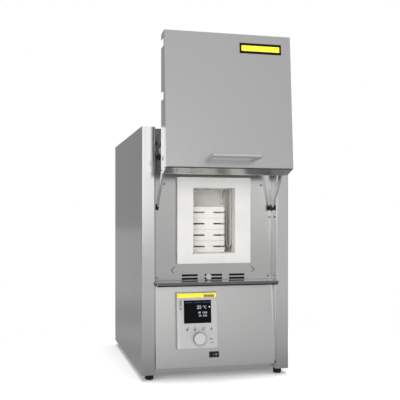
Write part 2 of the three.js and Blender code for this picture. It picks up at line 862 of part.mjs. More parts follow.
// Flat knob held by a screw through each of the two slots, with its head behind the slide
function slideKnob() {
  const disc = turned([
    [0, 0], [slideKnobRadius - sheet, 0], [slideKnobRadius, sheet], [slideKnobRadius, slideKnobLength],
    [0, slideKnobLength],
  ], axisY, 28).translate(slideKnobX, slideKnobFace, (slotRows[0] + slotRows[1] + slotHeight) / 2);
  const stem = slideBack + seat - slideKnobFace - sheet;
  const screws = slotRows.map((z) => turned([
    [0, 0], [slideStemRadius, 0], [slideStemRadius, stem], [slideHeadRadius, stem],
    [slideHeadRadius, stem + slideHeadHeight], [0, stem + slideHeadHeight],
  ], axisY, 12).translate(slideKnobX, slideKnobFace + sheet, z + slotHeight / 2));
  return join(disc, ...screws);
}

piece('air_slide_knob', slideKnob(), 'silver');

// Lift linkage. Angles are measured up from the forward direction. When the door is down, its lower
// pins sit a set height above its lower edge, and that fixes the height of the lower pivots.
const doorBottom = sillHeight + doorSillGap;
const armEnd = (angle) => new THREE.Vector2(-armLength * Math.cos(angle), armLength * Math.sin(angle));
const lowerPivotHeight = doorBottom + doorPinRise - armEnd(closedAngle).y;
const raise = armEnd(raisedAngle).sub(armEnd(closedAngle));
const doorHalf = wallX - doorSideGap;
const skinInner = doorHalf - sheet;
const lowerArmOuter = skinInner - armGap;
const pivotHeights = { lower: lowerPivotHeight, upper: lowerPivotHeight + pivotSpacing };
const lowerArmInner = lowerArmOuter - armThickness;
const upperArmOuter = lowerArmInner - armGap;
const upperArmInner = upperArmOuter - armThickness;
const armPlanes = { lower: [lowerArmInner, lowerArmOuter], upper: [upperArmInner, upperArmOuter] };
const frameHalf = upperArmInner - armGap;

// A flat arm with round ends, drawn along its length from the fixed pivot at the origin
function armPlate(x0, x1) {
  const radius = armWidth / 2;
  const shape = new THREE.Shape();
  shape.absarc(0, 0, radius, Math.PI / 2, Math.PI * 3 / 2);
  shape.absarc(armLength, 0, radius, -Math.PI / 2, Math.PI / 2);
  const bore = new THREE.Path();
  bore.absarc(0, 0, pinRadius + seat, 0, 2 * Math.PI);
  shape.holes.push(bore);
  const body = new THREE.ExtrudeGeometry(shape, { depth: x1 - x0, bevelEnabled: false, curveSegments: 8 });
  return placed(body, axisY, axisZ, axisX, new THREE.Vector3(x0, 0, 0));
}

// The lower arm's bolt goes out through the door's side, the upper arm's in through the door frame
function lowerArm() {
  const bolt = rod(pinRadius, doorHalf + seat - lowerArmOuter + sheet, axisX, 16)
    .translate(lowerArmOuter - sheet, armLength, 0);
  const head = rod(boltHeadRadius, boltHeadHeight, axisX, 20).translate(doorHalf + seat, armLength, 0);
  return join(armPlate(lowerArmInner, lowerArmOuter), bolt, head);
}

function upperArm() {
  const inner = frameHalf - sheet - seat;
  const bolt = rod(pinRadius, upperArmInner + sheet - inner, axisX, 16).translate(inner, armLength, 0);
  const head = rod(boltHeadRadius, boltHeadHeight, axisX, 20)
    .translate(inner - boltHeadHeight, armLength, 0);
  return join(armPlate(upperArmInner, upperArmOuter), bolt, head);
}

function arm(name, geometry, height) {
  for (const [side, mesh] of [['right', geometry], ['left', mirrored(geometry)]]) {
    const pivot = new THREE.Group();
    pivot.position.set(0, pivotSetback, height);
    // The arm is drawn along +Y and turned to point forward and up
    pivot.rotation.x = Math.PI - raisedAngle;
    furnace.add(pivot);
    piece(`${name}_arm_${side}`, mesh, 'polished', pivot);
  }
}

arm('lower', lowerArm(), pivotHeights.lower);
arm('upper', upperArm(), pivotHeights.upper);

// Fixed pivots: a black bearing against the recess wall, a pin through the arm and a retaining ring
function armBearing(level) {
  const [inner, outer] = armPlanes[level];
  const wall = wallX - seat;
  const ring = armGap / 2;
  const profile = [
    [0, inner - seat - ring], [retainerRadius, inner - seat - ring], [retainerRadius, inner - seat],
    [pinRadius, inner - seat], [pinRadius, outer + seat], [bearingRadius, outer + seat], [bearingRadius,
      wall], [0, wall],
  ];
  return turned(profile, axisX, 20).translate(0, pivotSetback, pivotHeights[level]);
}

for (const level of ['lower', 'upper']) pair(`${level}_bearing`, armBearing(level), 'black');

// Door, made in its closed place and then raised on the arms
const door = new THREE.Group();
door.position.set(0, raise.x, raise.y);
furnace.add(door);
const doorRear = plateFace - doorSeatGap;
const doorTop = doorBottom + doorHeight;
const doorFront = {
  top: [doorRear - doorTopDepth, doorTop + doorTopRise],
  bottom: [doorRear - doorBottomDepth, doorBottom + doorBottomBevel],
  keel: [doorRear - doorBottomDepth + doorBevelDepth, doorBottom],
};

// The y of the inside of the door's front skin at a height
function skinAt(z, inset = sheet) {
  const share = (z - doorFront.bottom[1]) / (doorFront.top[1] - doorFront.bottom[1]);
  return doorFront.bottom[0] + (doorFront.top[0] - doorFront.bottom[0]) * share + inset;
}

function doorShell() {
  const profile = [[doorRear, doorTop], doorFront.top, doorFront.bottom, doorFront.keel, [doorRear,
    doorBottom]];
  const softened = rounded(profile, bendRadius);
  const inner = [
    [doorRear + overrun, doorTop - sheet],
    [doorFront.top[0] + sheet, doorFront.top[1] - sheet],
    [doorFront.bottom[0] + sheet, doorFront.bottom[1] + sheet / 2],
    [doorFront.keel[0] + sheet / 2, doorFront.keel[1] + sheet],
    [doorRear + overrun, doorBottom + sheet],
  ];
  const notches = Object.values(pivotHeights).flatMap((height) => [-1, 1].map((sign) => {
    const a = sign * (skinInner - sheet);
    const b = sign * (doorHalf + overrun);
    return block(Math.min(a, b), Math.max(a, b), doorRear - notchDepth, doorRear + overrun,
      height + notchRise - notchHeight, height + notchRise);
  }));
  const closed = armEnd(closedAngle);
  const boltBores = [-1, 1].map((sign) => rod(pinRadius + seat, 2 * overrun, axisX, 16)
    .translate(sign * doorHalf - overrun, pivotSetback + closed.x, pivotHeights.lower + closed.y));
  // The closed door comes down over the knob of the air slide, so its lower edge is cut out there
  const knobHalf = slideKnobRadius + knobClearance;
  const knobNotch = block(slideKnobX - knobHalf, slideKnobX + slideTravel + knobHalf,
    slideKnobFace - knobClearance, doorRear + overrun, doorBottom - overrun, doorBottom + sheet + overrun);
  return cut(alongX(softened, -doorHalf, doorHalf), alongX(inner, -skinInner, skinInner), ...notches,
    ...boltBores, knobNotch);
}

piece('door_shell', doorShell(), 'brushed', door);

// Inner frame: a pan that holds the plug of insulation and takes the upper arms' bolts
const frameBack = collarFace - doorSeatGap - seat;
const frameBottom = doorBottom + sheet + seat;
const frameTop = doorTop - sheet - seat;
const plugHalf = collarHalf + plugSideMargin;
const plugBottom = collarBottom - plugMargin;
const plugTop = collarTop + plugMargin;

function doorFrame() {
  const closed = armEnd(closedAngle);
  const bores = [-1, 1].map((sign) => rod(pinRadius + seat, 2 * overrun, axisX, 16)
    .translate(sign * frameHalf - overrun, pivotSetback + closed.x, pivotHeights.upper + closed.y));
  return cut(
    midBlock(frameHalf, frameBack - doorFrameSetback, frameBack, frameBottom, frameTop),
    midBlock(frameHalf - sheet, frameBack - doorFrameSetback - overrun, frameBack - sheet,
      frameBottom + sheet, frameTop - sheet),
    midBlock(plugHalf + seat, frameBack - doorFrameSetback, frameBack + overrun, plugBottom - seat,
      plugTop + seat),
    ...bores,
  );
}

piece('door_frame', doorFrame(), 'shaded', door);

// Plug of fibre insulation: it fills the door and steps into the mouth of the chamber
function doorPlug() {
  const slab = alongX([
    [skinAt(plugBottom, sheet + seat), plugBottom], [collarFace - doorSeatGap, plugBottom],
    [collarFace - doorSeatGap, plugTop], [skinAt(plugTop, sheet + seat), plugTop],
  ], -plugHalf, plugHalf);
  const step = midBlock(chamberWidth / 2 - plugStepGap, collarFace - doorSeatGap - overrun,
    collarFace + plugStep, chamberFloor + plugStepGap, chamberTop - plugStepGap);
  return join(slab, step);
}

piece('door_plug', doorPlug(), 'fibre', door);

// Handle: a round bar bent square at both ends, with a washer under each leg. It stands square to
// the sloping skin of the door.
const handleZ = doorFront.bottom[1] + handleRise;
const doorLean = Math.atan2(doorFront.top[0] - doorFront.bottom[0], doorFront.top[1] - doorFront.bottom[1]);
const handleSeat = new THREE.Group();
handleSeat.position.set(0, skinAt(handleZ, 0), handleZ);
handleSeat.rotation.x = -doorLean;
door.add(handleSeat);

function doorHandle() {
  const legX = handleLength / 2 - handleRadius;
  const sides = 20;
  const bar = rod(handleRadius, 2 * legX, axisX, sides).translate(-legX, -handleReach, 0);
  const ends = [-1, 1].flatMap((sign) => [
    new THREE.SphereGeometry(handleRadius, sides, sides / 2).translate(sign * legX, -handleReach, 0),
    rod(handleRadius, handleReach - seat, axisY, sides).translate(sign * legX, -handleReach, 0),
    rod(handleFootRadius, handleFootHeight, axisY, sides)
      .translate(sign * legX, -seat - handleFootHeight, 0),
  ]);
  return join(bar, ...ends);
}

piece('door_handle', doorHandle(), 'polished', handleSeat);

// Rear fan: frame, rotor and wire guard
function fanFrame() {
  const half = fanSize / 2;
  const front = rearFace - seat - fanDepth;
  const body = block(fanPlace - half, fanPlace + half, front, rearFace - seat, fanHeight - half,
    fanHeight + half);
  const bore = rod(fanBore / 2, fanDepth + 2 * overrun, axisY, 32)
    .translate(fanPlace, front - overrun, fanHeight);
  const hub = rod(fanHubRadius, fanHubSeat, axisY, 20).translate(fanPlace, front, fanHeight);
  const struts = [0, 1].map((i) => new THREE.BoxGeometry(fanBore + sheet, fanHubSeat, fanStrut)
    .rotateY(Math.PI * (i + 0.5) / 2).translate(fanPlace, front + fanHubSeat / 2, fanHeight));
  const axle = rod(shaftRadius, fanHubSeat + seat + fanAxleReach, axisY, 12)
    .translate(fanPlace, front, fanHeight);
  return join(cut(body, bore), hub, ...struts, axle);
}

piece('fan_frame', fanFrame(), 'black');

function fanRotor() {
  const front = rearFace - seat - fanDepth + fanHubSeat + seat;
  const length = fanDepth - fanHubSeat - 2 * seat - fanTipGap;
  const bladeLength = fanBore / 2 - fanTipGap - fanHubRadius / 2;
  const chord = length * fanBladeShare;
  const blades = Array.from({ length: fanBlades }, (_, i) => new THREE.BoxGeometry(chord,
    fanBladeThickness, bladeLength)
    .rotateZ(fanBladePitch).translate(0, 0, fanHubRadius / 2 + bladeLength / 2)
    .rotateY(2 * Math.PI * i / fanBlades).translate(fanPlace, front + length / 2, fanHeight));
  const hub = rod(fanHubRadius, length, axisY, 24).translate(fanPlace, front, fanHeight);
  return cut(join(hub, ...blades),
    rod(shaftRadius + seat, fanAxleReach + 2 * seat, axisY, 12)
      .translate(fanPlace, front - seat, fanHeight));
}

piece('fan_rotor', fanRotor(), 'black');

// Guard: rings of wire on four spokes, on the outside of the rear panel
function fanGuard() {
  const face = rearFace + sheet + seat;
  const step = (fanBore / 2 + guardMargin) / guardRings;
  const ring = (radius) => turned([
    [radius - guardWire / 2, 0], [radius + guardWire / 2, 0], [radius + guardWire / 2, guardWire],
    [radius - guardWire / 2, guardWire], [radius - guardWire / 2, 0],
  ], axisY, 32).translate(fanPlace, face, fanHeight);
  const rings = Array.from({ length: guardRings }, (_, i) => ring(step * (i + 1)));
  const spokes = [0, 1].map((i) => new THREE.BoxGeometry(fanSize + guardMargin, guardWire, 2 * guardWire)
    .rotateY(Math.PI * (i + 0.5) / 2).translate(fanPlace, face + guardWire / 2, fanHeight));
  return join(...rings, ...spokes);
}

piece('fan_guard', fanGuard(), 'polished');

// Cable gland in the rear panel
function cableGland() {
  const inner = rearFace - seat - glandFlange;
  const outer = rearFace + sheet + seat;
  const profile = [
    [glandBoreRadius, inner], [glandNeckRadius, inner], [glandNeckRadius, outer], [glandRadius, outer],
    [glandRadius, outer + glandFlange], [glandNutRadius, outer + glandFlange + glandNutSlope],
    [glandTipRadius, outer + glandProud], [glandBoreRadius, outer + glandProud], [glandBoreRadius, inner],
  ];
  return turned(profile, axisY, 16).translate(-glandPlace, 0, glandHeight);
}

piece('cable_gland', cableGland(), 'black');

// Electrical works on the base tray: transformer and power unit
const works = trayTop + seat;
const transformerY = rearFace - transformerSetback - transformerDepth;
const transformerPlace = innerHalf - transformerMargin - transformerWidth / 2;
const sinkY = rearFace - sinkSetback - sinkDepth;
const sinkPlace = innerHalf - sinkMargin - sinkWidth / 2;
const transformerCore = cut(
  block(-transformerPlace - transformerWidth / 2, -transformerPlace + transformerWidth / 2,
    transformerY, transformerY + transformerDepth, works, works + transformerHeight),
  ...[-1, 1].map((sign) => block(
    -transformerPlace + (sign * coilWidth - coreWindow) / 2,
      -transformerPlace + (sign * coilWidth + coreWindow) / 2,
    transformerY - overrun, transformerY + transformerDepth + overrun,
    works + coreFoot, works + transformerHeight - coreFoot)),
);
piece('transformer_core', transformerCore, 'core');

// The coil wraps the middle limb of the core
function transformerCoil() {
  const window = coreWindow / 2 - seat;
  const x0 = -transformerPlace - coilWidth / 2 - window;
  const x1 = -transformerPlace + coilWidth / 2 + window;
  const limb = (coilWidth - coreWindow) / 2 + seat;
  return cut(
    block(x0, x1, transformerY - coilBulge, transformerY + transformerDepth + coilBulge,
      works + coreFoot + seat, works + transformerHeight - coreFoot - seat),
    block(-transformerPlace - limb, -transformerPlace + limb, transformerY - seat,
      transformerY + transformerDepth + seat, works, works + transformerHeight),
    ...[-1, 1].map((sign) => {
      const a = -transformerPlace + sign * (coilWidth / 2 + window);
      const b = -transformerPlace + sign * coilWidth;
      return block(Math.min(a, b), Math.max(a, b), transformerY - seat,
        transformerY + transformerDepth + seat, works, works + transformerHeight);
    }),
  );
}

piece('transformer_coil', transformerCoil(), 'copper');

function powerUnit() {
  const x0 = sinkPlace - sinkWidth / 2;
  const base = block(x0, x0 + sinkWidth, sinkY, sinkY + sinkBase, works, works + sinkHeight);
  const pitch = (sinkWidth - sinkFin) / (sinkFins - 1);
  const fins = Array.from({ length: sinkFins }, (_, i) => block(x0 + i * pitch, x0 + i * pitch + sinkFin,
    sinkY + sinkBase / 2, sinkY + sinkDepth, works, works + sinkHeight));
  return join(base, ...fins);
}

piece('power_unit_heat_sink', powerUnit(), 'core');

// The origin goes under the middle of the furnace as it stands with its door raised
furnace.updateMatrixWorld(true);
const reach = new THREE.Box3().setFromObject(furnace, true);
furnace.position.y = -(reach.min.y + reach.max.y) / 2;
furnace.updateMatrixWorld(true);

export default furnace;
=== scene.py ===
# %% [markdown]
# A laboratory furnace with its lift door raised.
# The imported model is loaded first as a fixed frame. Blender then gives every sheet, moulding and
# board its fine edges and its finish, and adds the screws, prints and fittings that are too small
# for the construction model. The scene is in metres, with +Z up and the front facing -Y.

# %% Load the frame
import json
from math import cos, pi, radians, sin

import bmesh
import bpy
from mathutils import Matrix, Vector

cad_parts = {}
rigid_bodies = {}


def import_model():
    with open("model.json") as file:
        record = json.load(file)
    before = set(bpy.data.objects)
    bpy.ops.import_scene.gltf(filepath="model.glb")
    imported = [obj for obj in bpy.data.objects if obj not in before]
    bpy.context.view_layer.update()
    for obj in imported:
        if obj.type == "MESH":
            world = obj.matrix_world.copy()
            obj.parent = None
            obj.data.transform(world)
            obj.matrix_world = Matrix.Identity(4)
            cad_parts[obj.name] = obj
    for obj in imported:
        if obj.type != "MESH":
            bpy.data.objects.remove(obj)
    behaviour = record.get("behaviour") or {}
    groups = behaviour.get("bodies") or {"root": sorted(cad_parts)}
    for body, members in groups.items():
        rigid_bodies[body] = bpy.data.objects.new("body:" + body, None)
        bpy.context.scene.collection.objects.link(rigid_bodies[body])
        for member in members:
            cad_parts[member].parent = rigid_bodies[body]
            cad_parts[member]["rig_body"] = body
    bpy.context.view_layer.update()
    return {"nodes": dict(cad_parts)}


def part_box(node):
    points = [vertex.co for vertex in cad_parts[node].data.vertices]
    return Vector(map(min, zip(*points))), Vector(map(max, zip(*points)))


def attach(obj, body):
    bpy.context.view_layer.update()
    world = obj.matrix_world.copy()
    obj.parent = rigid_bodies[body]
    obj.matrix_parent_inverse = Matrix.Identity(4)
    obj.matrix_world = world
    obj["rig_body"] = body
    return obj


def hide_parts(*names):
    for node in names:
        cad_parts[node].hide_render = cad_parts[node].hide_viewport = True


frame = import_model()
nodes = frame["nodes"]
MM = 0.001
tolerance = 0.01 * MM
named_sides = {"left": -1, "right": 1}
sides = tuple(named_sides.values())

# %% [markdown]
# The camera stands in front of the furnace and a little to its left, at half the height of the
# whole, and it looks level. A level camera keeps upright edges upright, and the lens shift then
# slides the picture up to take in the raised door.

# %% Camera
front_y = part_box("side_panel_left")[0].y
camera_place = Vector((-571.3 * MM, front_y - 2090.5 * MM, 492.0 * MM))
camera_turn = radians(13.79)
focal_pixels = 700.64
picture_pixels = 400
camera_data = bpy.data.cameras.new("camera")
camera_data.lens = camera_data.sensor_width * focal_pixels / picture_pixels
camera_data.shift_x = 0.00335
camera_data.shift_y = 0.04643
camera = bpy.data.objects.new("camera", camera_data)
camera.location = camera_place
camera.rotation_euler = (pi / 2, 0, -camera_turn)
bpy.context.scene.collection.objects.link(camera)
bpy.context.scene.camera = camera
print("lens", round(camera_data.lens, 2), "mm")

# %% [markdown]
# Steel takes its look from what it mirrors. A plain white surround would turn every panel the
# same white, so the surround is built like a small studio: a low, wide soft box in front, quieter
# walls beside and behind, and a pale ceiling. Each mask is a smooth step of the direction. The
# background that the camera itself sees stays plain white.

# %% Surround
wall_light = 0.68
ceiling_light = 1.0
rear_light = 0.3
low_light = 0.6
# From where to where each light changes into the next, in the y or z of a direction of length 1
wall_to_rear = (-0.3, 0.5)
low_to_wall = (-0.2, 0)
wall_to_ceiling = (0.4, 0.9)
# The soft box in degrees: turn from straight ahead, half width, its blur, bottom, top and their blur
soft_box_window = (-10, 21, 12, -5.9, 13.4, 3.3)
soft_box_power = 1.15


def maths(tree, operation, a, b=None):
    """One maths node. Each input is a number or the output of another node."""
    node = tree.nodes.new("ShaderNodeMath")
    node.operation = operation
    for socket, value in zip(node.inputs, (a, b)):
        if isinstance(value, (int, float)):
            socket.default_value = value
        elif value is not None:
            tree.links.new(value, socket)
    return node.outputs[0]


def axes(tree, vector):
    """The X, Y and Z outputs of a vector."""
    node = tree.nodes.new("ShaderNodeSeparateXYZ")
    tree.links.new(vector, node.inputs["Vector"])
    return node.outputs


def mixed(tree, factor, first, second):
    """Two shaders mixed: the first where the factor is 0, and the second where it is 1."""
    node = tree.nodes.new("ShaderNodeMixShader")
    for socket, value in zip(node.inputs, (factor, first, second)):
        tree.links.new(value, socket)
    return node.outputs["Shader"]


def smooth_step(tree, value, low, high, start=0.0, end=1.0):
    """Rises or falls smoothly from start to end while the value goes from low to high."""
    node = tree.nodes.new("ShaderNodeMapRange")
    node.interpolation_type = "SMOOTHSTEP"
    limits = {"From Min": low, "From Max": high, "To Min": start, "To Max": end}
    for label, limit in limits.items():
        node.inputs[label].default_value = limit
    tree.links.new(value, node.inputs["Value"])
    return node.outputs["Result"]


def soft_box(tree, direction, ahead_turn, half_width, side_blur, bottom, top, rise_blur):
    """A mask that is 1 inside a softly edged window of directions, given in degrees."""
    spin = tree.nodes.new("ShaderNodeMapping")
    spin.inputs["Rotation"].default_value = (0, 0, radians(90 - ahead_turn))
    tree.links.new(direction, spin.inputs["Vector"])
    parts = axes(tree, spin.outputs["Vector"])
    turn = maths(tree, "ABSOLUTE", maths(tree, "ARCTAN2", parts["Y"], parts["X"]))
    rise = maths(tree, "ARCSINE", parts["Z"])

    def edge(angle, middle, blur, start, end):
        return smooth_step(tree, angle, radians(middle - blur), radians(middle + blur), start, end)

    across = edge(turn, half_width, side_blur, 1, 0)
    above = edge(rise, bottom, rise_blur, 0, 1)
    below = edge(rise, top, rise_blur, 1, 0)
    return maths(tree, "MULTIPLY", across, maths(tree, "MULTIPLY", above, below))


def make_world():
    world = bpy.data.worlds.new("studio")
    world.use_nodes = True
    tree = world.node_tree
    tree.nodes.clear()
    out = tree.nodes.new("ShaderNodeOutputWorld")
    seen = tree.nodes.new("ShaderNodeBackground")
    seen.inputs["Color"].default_value = (1, 1, 1, 1)
    mirrored = tree.nodes.new("ShaderNodeBackground")
    ray = tree.nodes.new("ShaderNodeLightPath")
    direction = tree.nodes.new("ShaderNodeTexCoord").outputs["Generated"]
    parts = axes(tree, direction)
    light = smooth_step(tree, parts["Y"], *wall_to_rear, wall_light, rear_light)
    low = smooth_step(tree, parts["Z"], *low_to_wall, wall_light - low_light, 0)
    high = smooth_step(tree, parts["Z"], *wall_to_ceiling, 0, ceiling_light - wall_light)
    light = maths(tree, "ADD", maths(tree, "SUBTRACT", light, low), high)
    mask = soft_box(tree, direction, *soft_box_window)
    light = maths(tree, "ADD", light, maths(tree, "MULTIPLY", mask, soft_box_power))
    tree.links.new(light, mirrored.inputs["Color"])
    surface = mixed(tree, ray.outputs["Is Camera Ray"], mirrored.outputs[0], seen.outputs[0])
    tree.links.new(surface, out.inputs["Surface"])
    bpy.context.scene.world = world


make_world()
print("soft box power", soft_box_power)

# %% [markdown]
# The lamps light the white boards, the plastics and the floor. They are kept out of mirror
# reflections, because the surround already draws what the steel should mirror, and a square lamp
# would leave a hot spot on the door.

# %% Lamps


def new_light(name, place, aim, size, power):
    data = bpy.data.lights.new(name, "AREA")
    data.shape = "RECTANGLE"
    data.size, data.size_y = size
    data.energy = power
    lamp = bpy.data.objects.new(name, data)
    lamp.location = place
    lamp.rotation_euler = (Vector(aim) - Vector(place)).to_track_quat("-Z", "Y").to_euler()
    lamp.visible_glossy = False
    bpy.context.scene.collection.objects.link(lamp)


new_light("key", place=(-0.95, -2.6, 1.0), aim=(0, 0, 0.45), size=(1.5, 1.2), power=32)
new_light("top", place=(0.1, 0.0, 2.9), aim=(0, 0, 0.6), size=(1.8, 1.8), power=90)
bpy.context.scene.view_settings.view_transform = "Standard"

# %% [markdown]
# Shader groups hold the effects that several finishes share. Brushed grain is noise stretched
# along the direction of the brush. Cloudy variation is large soft noise, which breaks up the
# roughness of metal as handling does. Fine pits are small noise for fibre board and ceramic.

# %% Shared shader groups


def new_group(name, inputs, outputs):
    group = bpy.data.node_groups.new(name, "ShaderNodeTree")
    for kind, label, value in inputs:
        socket = group.interface.new_socket(label, in_out="INPUT", socket_type=kind)
        socket.default_value = value
    for kind, label in outputs:
        group.interface.new_socket(label, in_out="OUTPUT", socket_type=kind)
    return group, group.nodes.new("NodeGroupInput"), group.nodes.new("NodeGroupOutput")


def add(tree, kind, **values):
    """A node with its properties or, where it has no such property, its inputs set."""
    node = tree.nodes.new(kind)
    for key, value in values.items():
        if hasattr(node, key):
            setattr(node, key, value)
        else:
            node.inputs[key.replace("_", " ")].default_value = value
    return node


def grain_group():
    group, source, sink = new_group("brushed_grain", [
        ("NodeSocketVector", "Stretch", (1, 1, 1)), ("NodeSocketFloat", "Amount", 0.1),
    ], [("NodeSocketFloat", "Shade"), ("NodeSocketFloat", "Height")])
    place = group.nodes.new("ShaderNodeTexCoord")
    stretch = add(group, "ShaderNodeVectorMath", operation="MULTIPLY")
    noise = add(group, "ShaderNodeTexNoise", Scale=1.0, Detail=3.0, Roughness=0.6)
    shade = add(group, "ShaderNodeMapRange", From_Min=0.3, From_Max=0.7)
    group.links.new(place.outputs["Object"], stretch.inputs[0])
    group.links.new(source.outputs["Stretch"], stretch.inputs[1])
    group.links.new(stretch.outputs["Vector"], noise.inputs["Vector"])
    group.links.new(noise.outputs["Fac"], shade.inputs["Value"])
    group.links.new(maths(group, "SUBTRACT", 1, source.outputs["Amount"]), shade.inputs["To Min"])
    group.links.new(shade.outputs["Result"], sink.inputs["Shade"])
    group.links.new(noise.outputs["Fac"], sink.inputs["Height"])
    return group


def cloud_group():
    group, source, sink = new_group("cloudy_variation", [
        ("NodeSocketFloat", "Scale", 6.0), ("NodeSocketFloat", "Low", 0.3), ("NodeSocketFloat", "High", 0.4),
    ], [("NodeSocketFloat", "Value")])
    place = group.nodes.new("ShaderNodeTexCoord")
    noise = add(group, "ShaderNodeTexNoise", Detail=4.0, Roughness=0.55)
    spread = add(group, "ShaderNodeMapRange", From_Min=0.35, From_Max=0.65)
    group.links.new(place.outputs["Object"], noise.inputs["Vector"])
    group.links.new(source.outputs["Scale"], noise.inputs["Scale"])
    group.links.new(noise.outputs["Fac"], spread.inputs["Value"])
    group.links.new(source.outputs["Low"], spread.inputs["To Min"])
    group.links.new(source.outputs["High"], spread.inputs["To Max"])
    group.links.new(spread.outputs["Result"], sink.inputs["Value"])
    return group


def pit_group():
    group, source, sink = new_group("fine_pits", [
        ("NodeSocketFloat", "Scale", 400.0), ("NodeSocketFloat", "Coarse", 40.0),
    ], [("NodeSocketFloat", "Height")])
    place = group.nodes.new("ShaderNodeTexCoord")
    fine = add(group, "ShaderNodeTexNoise", Detail=5.0, Roughness=0.7)
    coarse = add(group, "ShaderNodeTexNoise", Detail=2.0, Roughness=0.5)
    for noise, label in ((fine, "Scale"), (coarse, "Coarse")):
        group.links.new(place.outputs["Object"], noise.inputs["Vector"])
        group.links.new(source.outputs[label], noise.inputs["Scale"])
    both = maths(group, "ADD", fine.outputs["Fac"], coarse.outputs["Fac"])
    group.links.new(both, sink.inputs["Height"])
    return group


brushed_grain = grain_group()
cloudy_variation = cloud_group()
fine_pits = pit_group()
print("shader groups", len(bpy.data.node_groups))

# %% [markdown]
# Each finish is a material of its own with a Principled shader. The steel finishes differ in the
# direction of the grain, in how dark they are and in how sharply they mirror. The recess is lined
# with polished sheet, and the outside of the cabinet is ground sheet with a satin shine.

# %% Finishes
finishes = {}
# Relief: strength and depth in metres on ground steel, depth on plastic, and strength on board
grain_relief, moulded_depth, board_strength = (0.08, 0.00006), 0.00012, 0.25


def new_material(name, colour, roughness, metallic=0.0):
    """Keeps the material in finishes. Returns its node tree and its Principled shader."""
    material = finishes[name] = bpy.data.materials.new(name)
    material.use_nodes = True
    tree = material.node_tree
    shader = tree.nodes["Principled BSDF"]
    shader.inputs["Base Color"].default_value = (*colour, 1)
    shader.inputs["Roughness"].default_value = roughness
    shader.inputs["Metallic"].default_value = metallic
    return tree, shader


def use_group(tree, group, **values):
    node = tree.nodes.new("ShaderNodeGroup")
    node.node_tree = group
    for key, value in values.items():
        node.inputs[key].default_value = value
    return node


def tinted(tree, shader, factor, colour):
    """Base colour: the given colour times a factor that changes over the surface."""
    mix = add(tree, "ShaderNodeMix", data_type="RGBA", blend_type="MULTIPLY")
    mix.inputs[0].default_value = 1
    mix.inputs[6].default_value = (*colour, 1)
    tree.links.new(factor, mix.inputs[7])
    tree.links.new(mix.outputs[2], shader.inputs["Base Color"])


def bumped(tree, shader, height, strength, distance):
    bump = add(tree, "ShaderNodeBump", Strength=strength, Distance=distance)
    tree.links.new(height, bump.inputs["Height"])
    tree.links.new(bump.outputs["Normal"], shader.inputs["Normal"])
    return bump


def steel(name, colour, stretch, roughness=(0.23, 0.265), amount=0.08, dish=0.0):
    """Ground sheet. A dish bends what it mirrors: the height per square of the distance from x = 0."""
    tree, shader = new_material(name, colour, roughness[0], 1.0)
    grain = use_group(tree, brushed_grain, Stretch=stretch, Amount=amount)
    cloud = use_group(tree, cloudy_variation, Scale=4.0, Low=roughness[0], High=roughness[1])
    tinted(tree, shader, grain.outputs["Shade"], colour)
    tree.links.new(cloud.outputs["Value"], shader.inputs["Roughness"])
    fine = bumped(tree, shader, grain.outputs["Height"], *grain_relief)
    if dish:
        across = axes(tree, tree.nodes.new("ShaderNodeTexCoord").outputs["Object"])["X"]
        square = maths(tree, "MULTIPLY", across, across)
        bend = add(tree, "ShaderNodeBump", Strength=1.0, Distance=1.0)
        tree.links.new(maths(tree, "MULTIPLY", square, dish), bend.inputs["Height"])
        tree.links.new(bend.outputs["Normal"], fine.inputs["Normal"])


def mineral(name, colour, roughness=0.95, scale=500.0, coarse=45.0, depth=0.0004, darkest=0.95):
    """Fibre board and ceramic: dull, pitted and faintly cloudy."""
    tree, shader = new_material(name, colour, roughness)
    pits = use_group(tree, fine_pits, Scale=scale, Coarse=coarse)
    cloud = use_group(tree, cloudy_variation, Scale=22.0, Low=darkest, High=1.0)
    tinted(tree, shader, cloud.outputs["Value"], colour)
    bumped(tree, shader, pits.outputs["Height"], board_strength, depth)


def moulded(name, colour, roughness=(0.4, 0.5), scale=900.0, strength=0.12, metallic=0.0, glow=0.0,
            shine=0.5):
    """Plastic, paint and print with a fine moulded texture."""
    tree, shader = new_material(name, colour, roughness[0], metallic)
    shader.inputs["Specular IOR Level"].default_value = shine
    pits = use_group(tree, fine_pits, Scale=scale, Coarse=160.0)
    cloud = use_group(tree, cloudy_variation, Scale=18.0, Low=roughness[0], High=roughness[1])
    shade = use_group(tree, cloudy_variation, Scale=30.0, Low=0.95, High=1.0)
    tinted(tree, shader, shade.outputs["Value"], colour)
    tree.links.new(cloud.outputs["Value"], shader.inputs["Roughness"])
    bumped(tree, shader, pits.outputs["Height"], strength, moulded_depth)
    if glow:
        shader.inputs["Emission Color"].default_value = (*colour, 1)
        shader.inputs["Emission Strength"].default_value = glow


along_x = (6, 700, 700)
along_z = (700, 700, 6)
along_y = (700, 6, 700)
steel("door_steel", (0.54, 0.54, 0.54), along_z, (0.32, 0.36), 0.05)
steel("side_steel", (0.62, 0.62, 0.625), along_z, (0.15, 0.18), 0.05)
steel("panel_steel", (0.56, 0.56, 0.555), along_x, (0.23, 0.265), 0.03)
steel("cover_steel", (0.58, 0.58, 0.575), along_y)
steel("rear_steel", (0.6, 0.6, 0.595), along_x, (0.32, 0.38))
steel("recess_steel", (0.51, 0.51, 0.505), along_x, (0.17, 0.2), 0.04, dish=0.175)
steel("sill_steel", (0.5, 0.5, 0.495), along_x, (0.18, 0.22), 0.04)
# Painted highlight: a steel far brighter than the door's, for the door's folded sides and the recess walls,
# where they catch the light.
steel("painted_highlight_steel", (0.88, 0.88, 0.875), along_z, (0.22, 0.26), 0.04)
steel("underside_steel", (0.42, 0.42, 0.415), along_x, (0.2, 0.24), 0.04)
# Dark steel: the screws on the side panels, and the painted shade and reflection on the sill's lip.
steel("dark_steel_and_painted_shade", (0.17, 0.17, 0.17), along_x, (0.3, 0.34), 0.1)
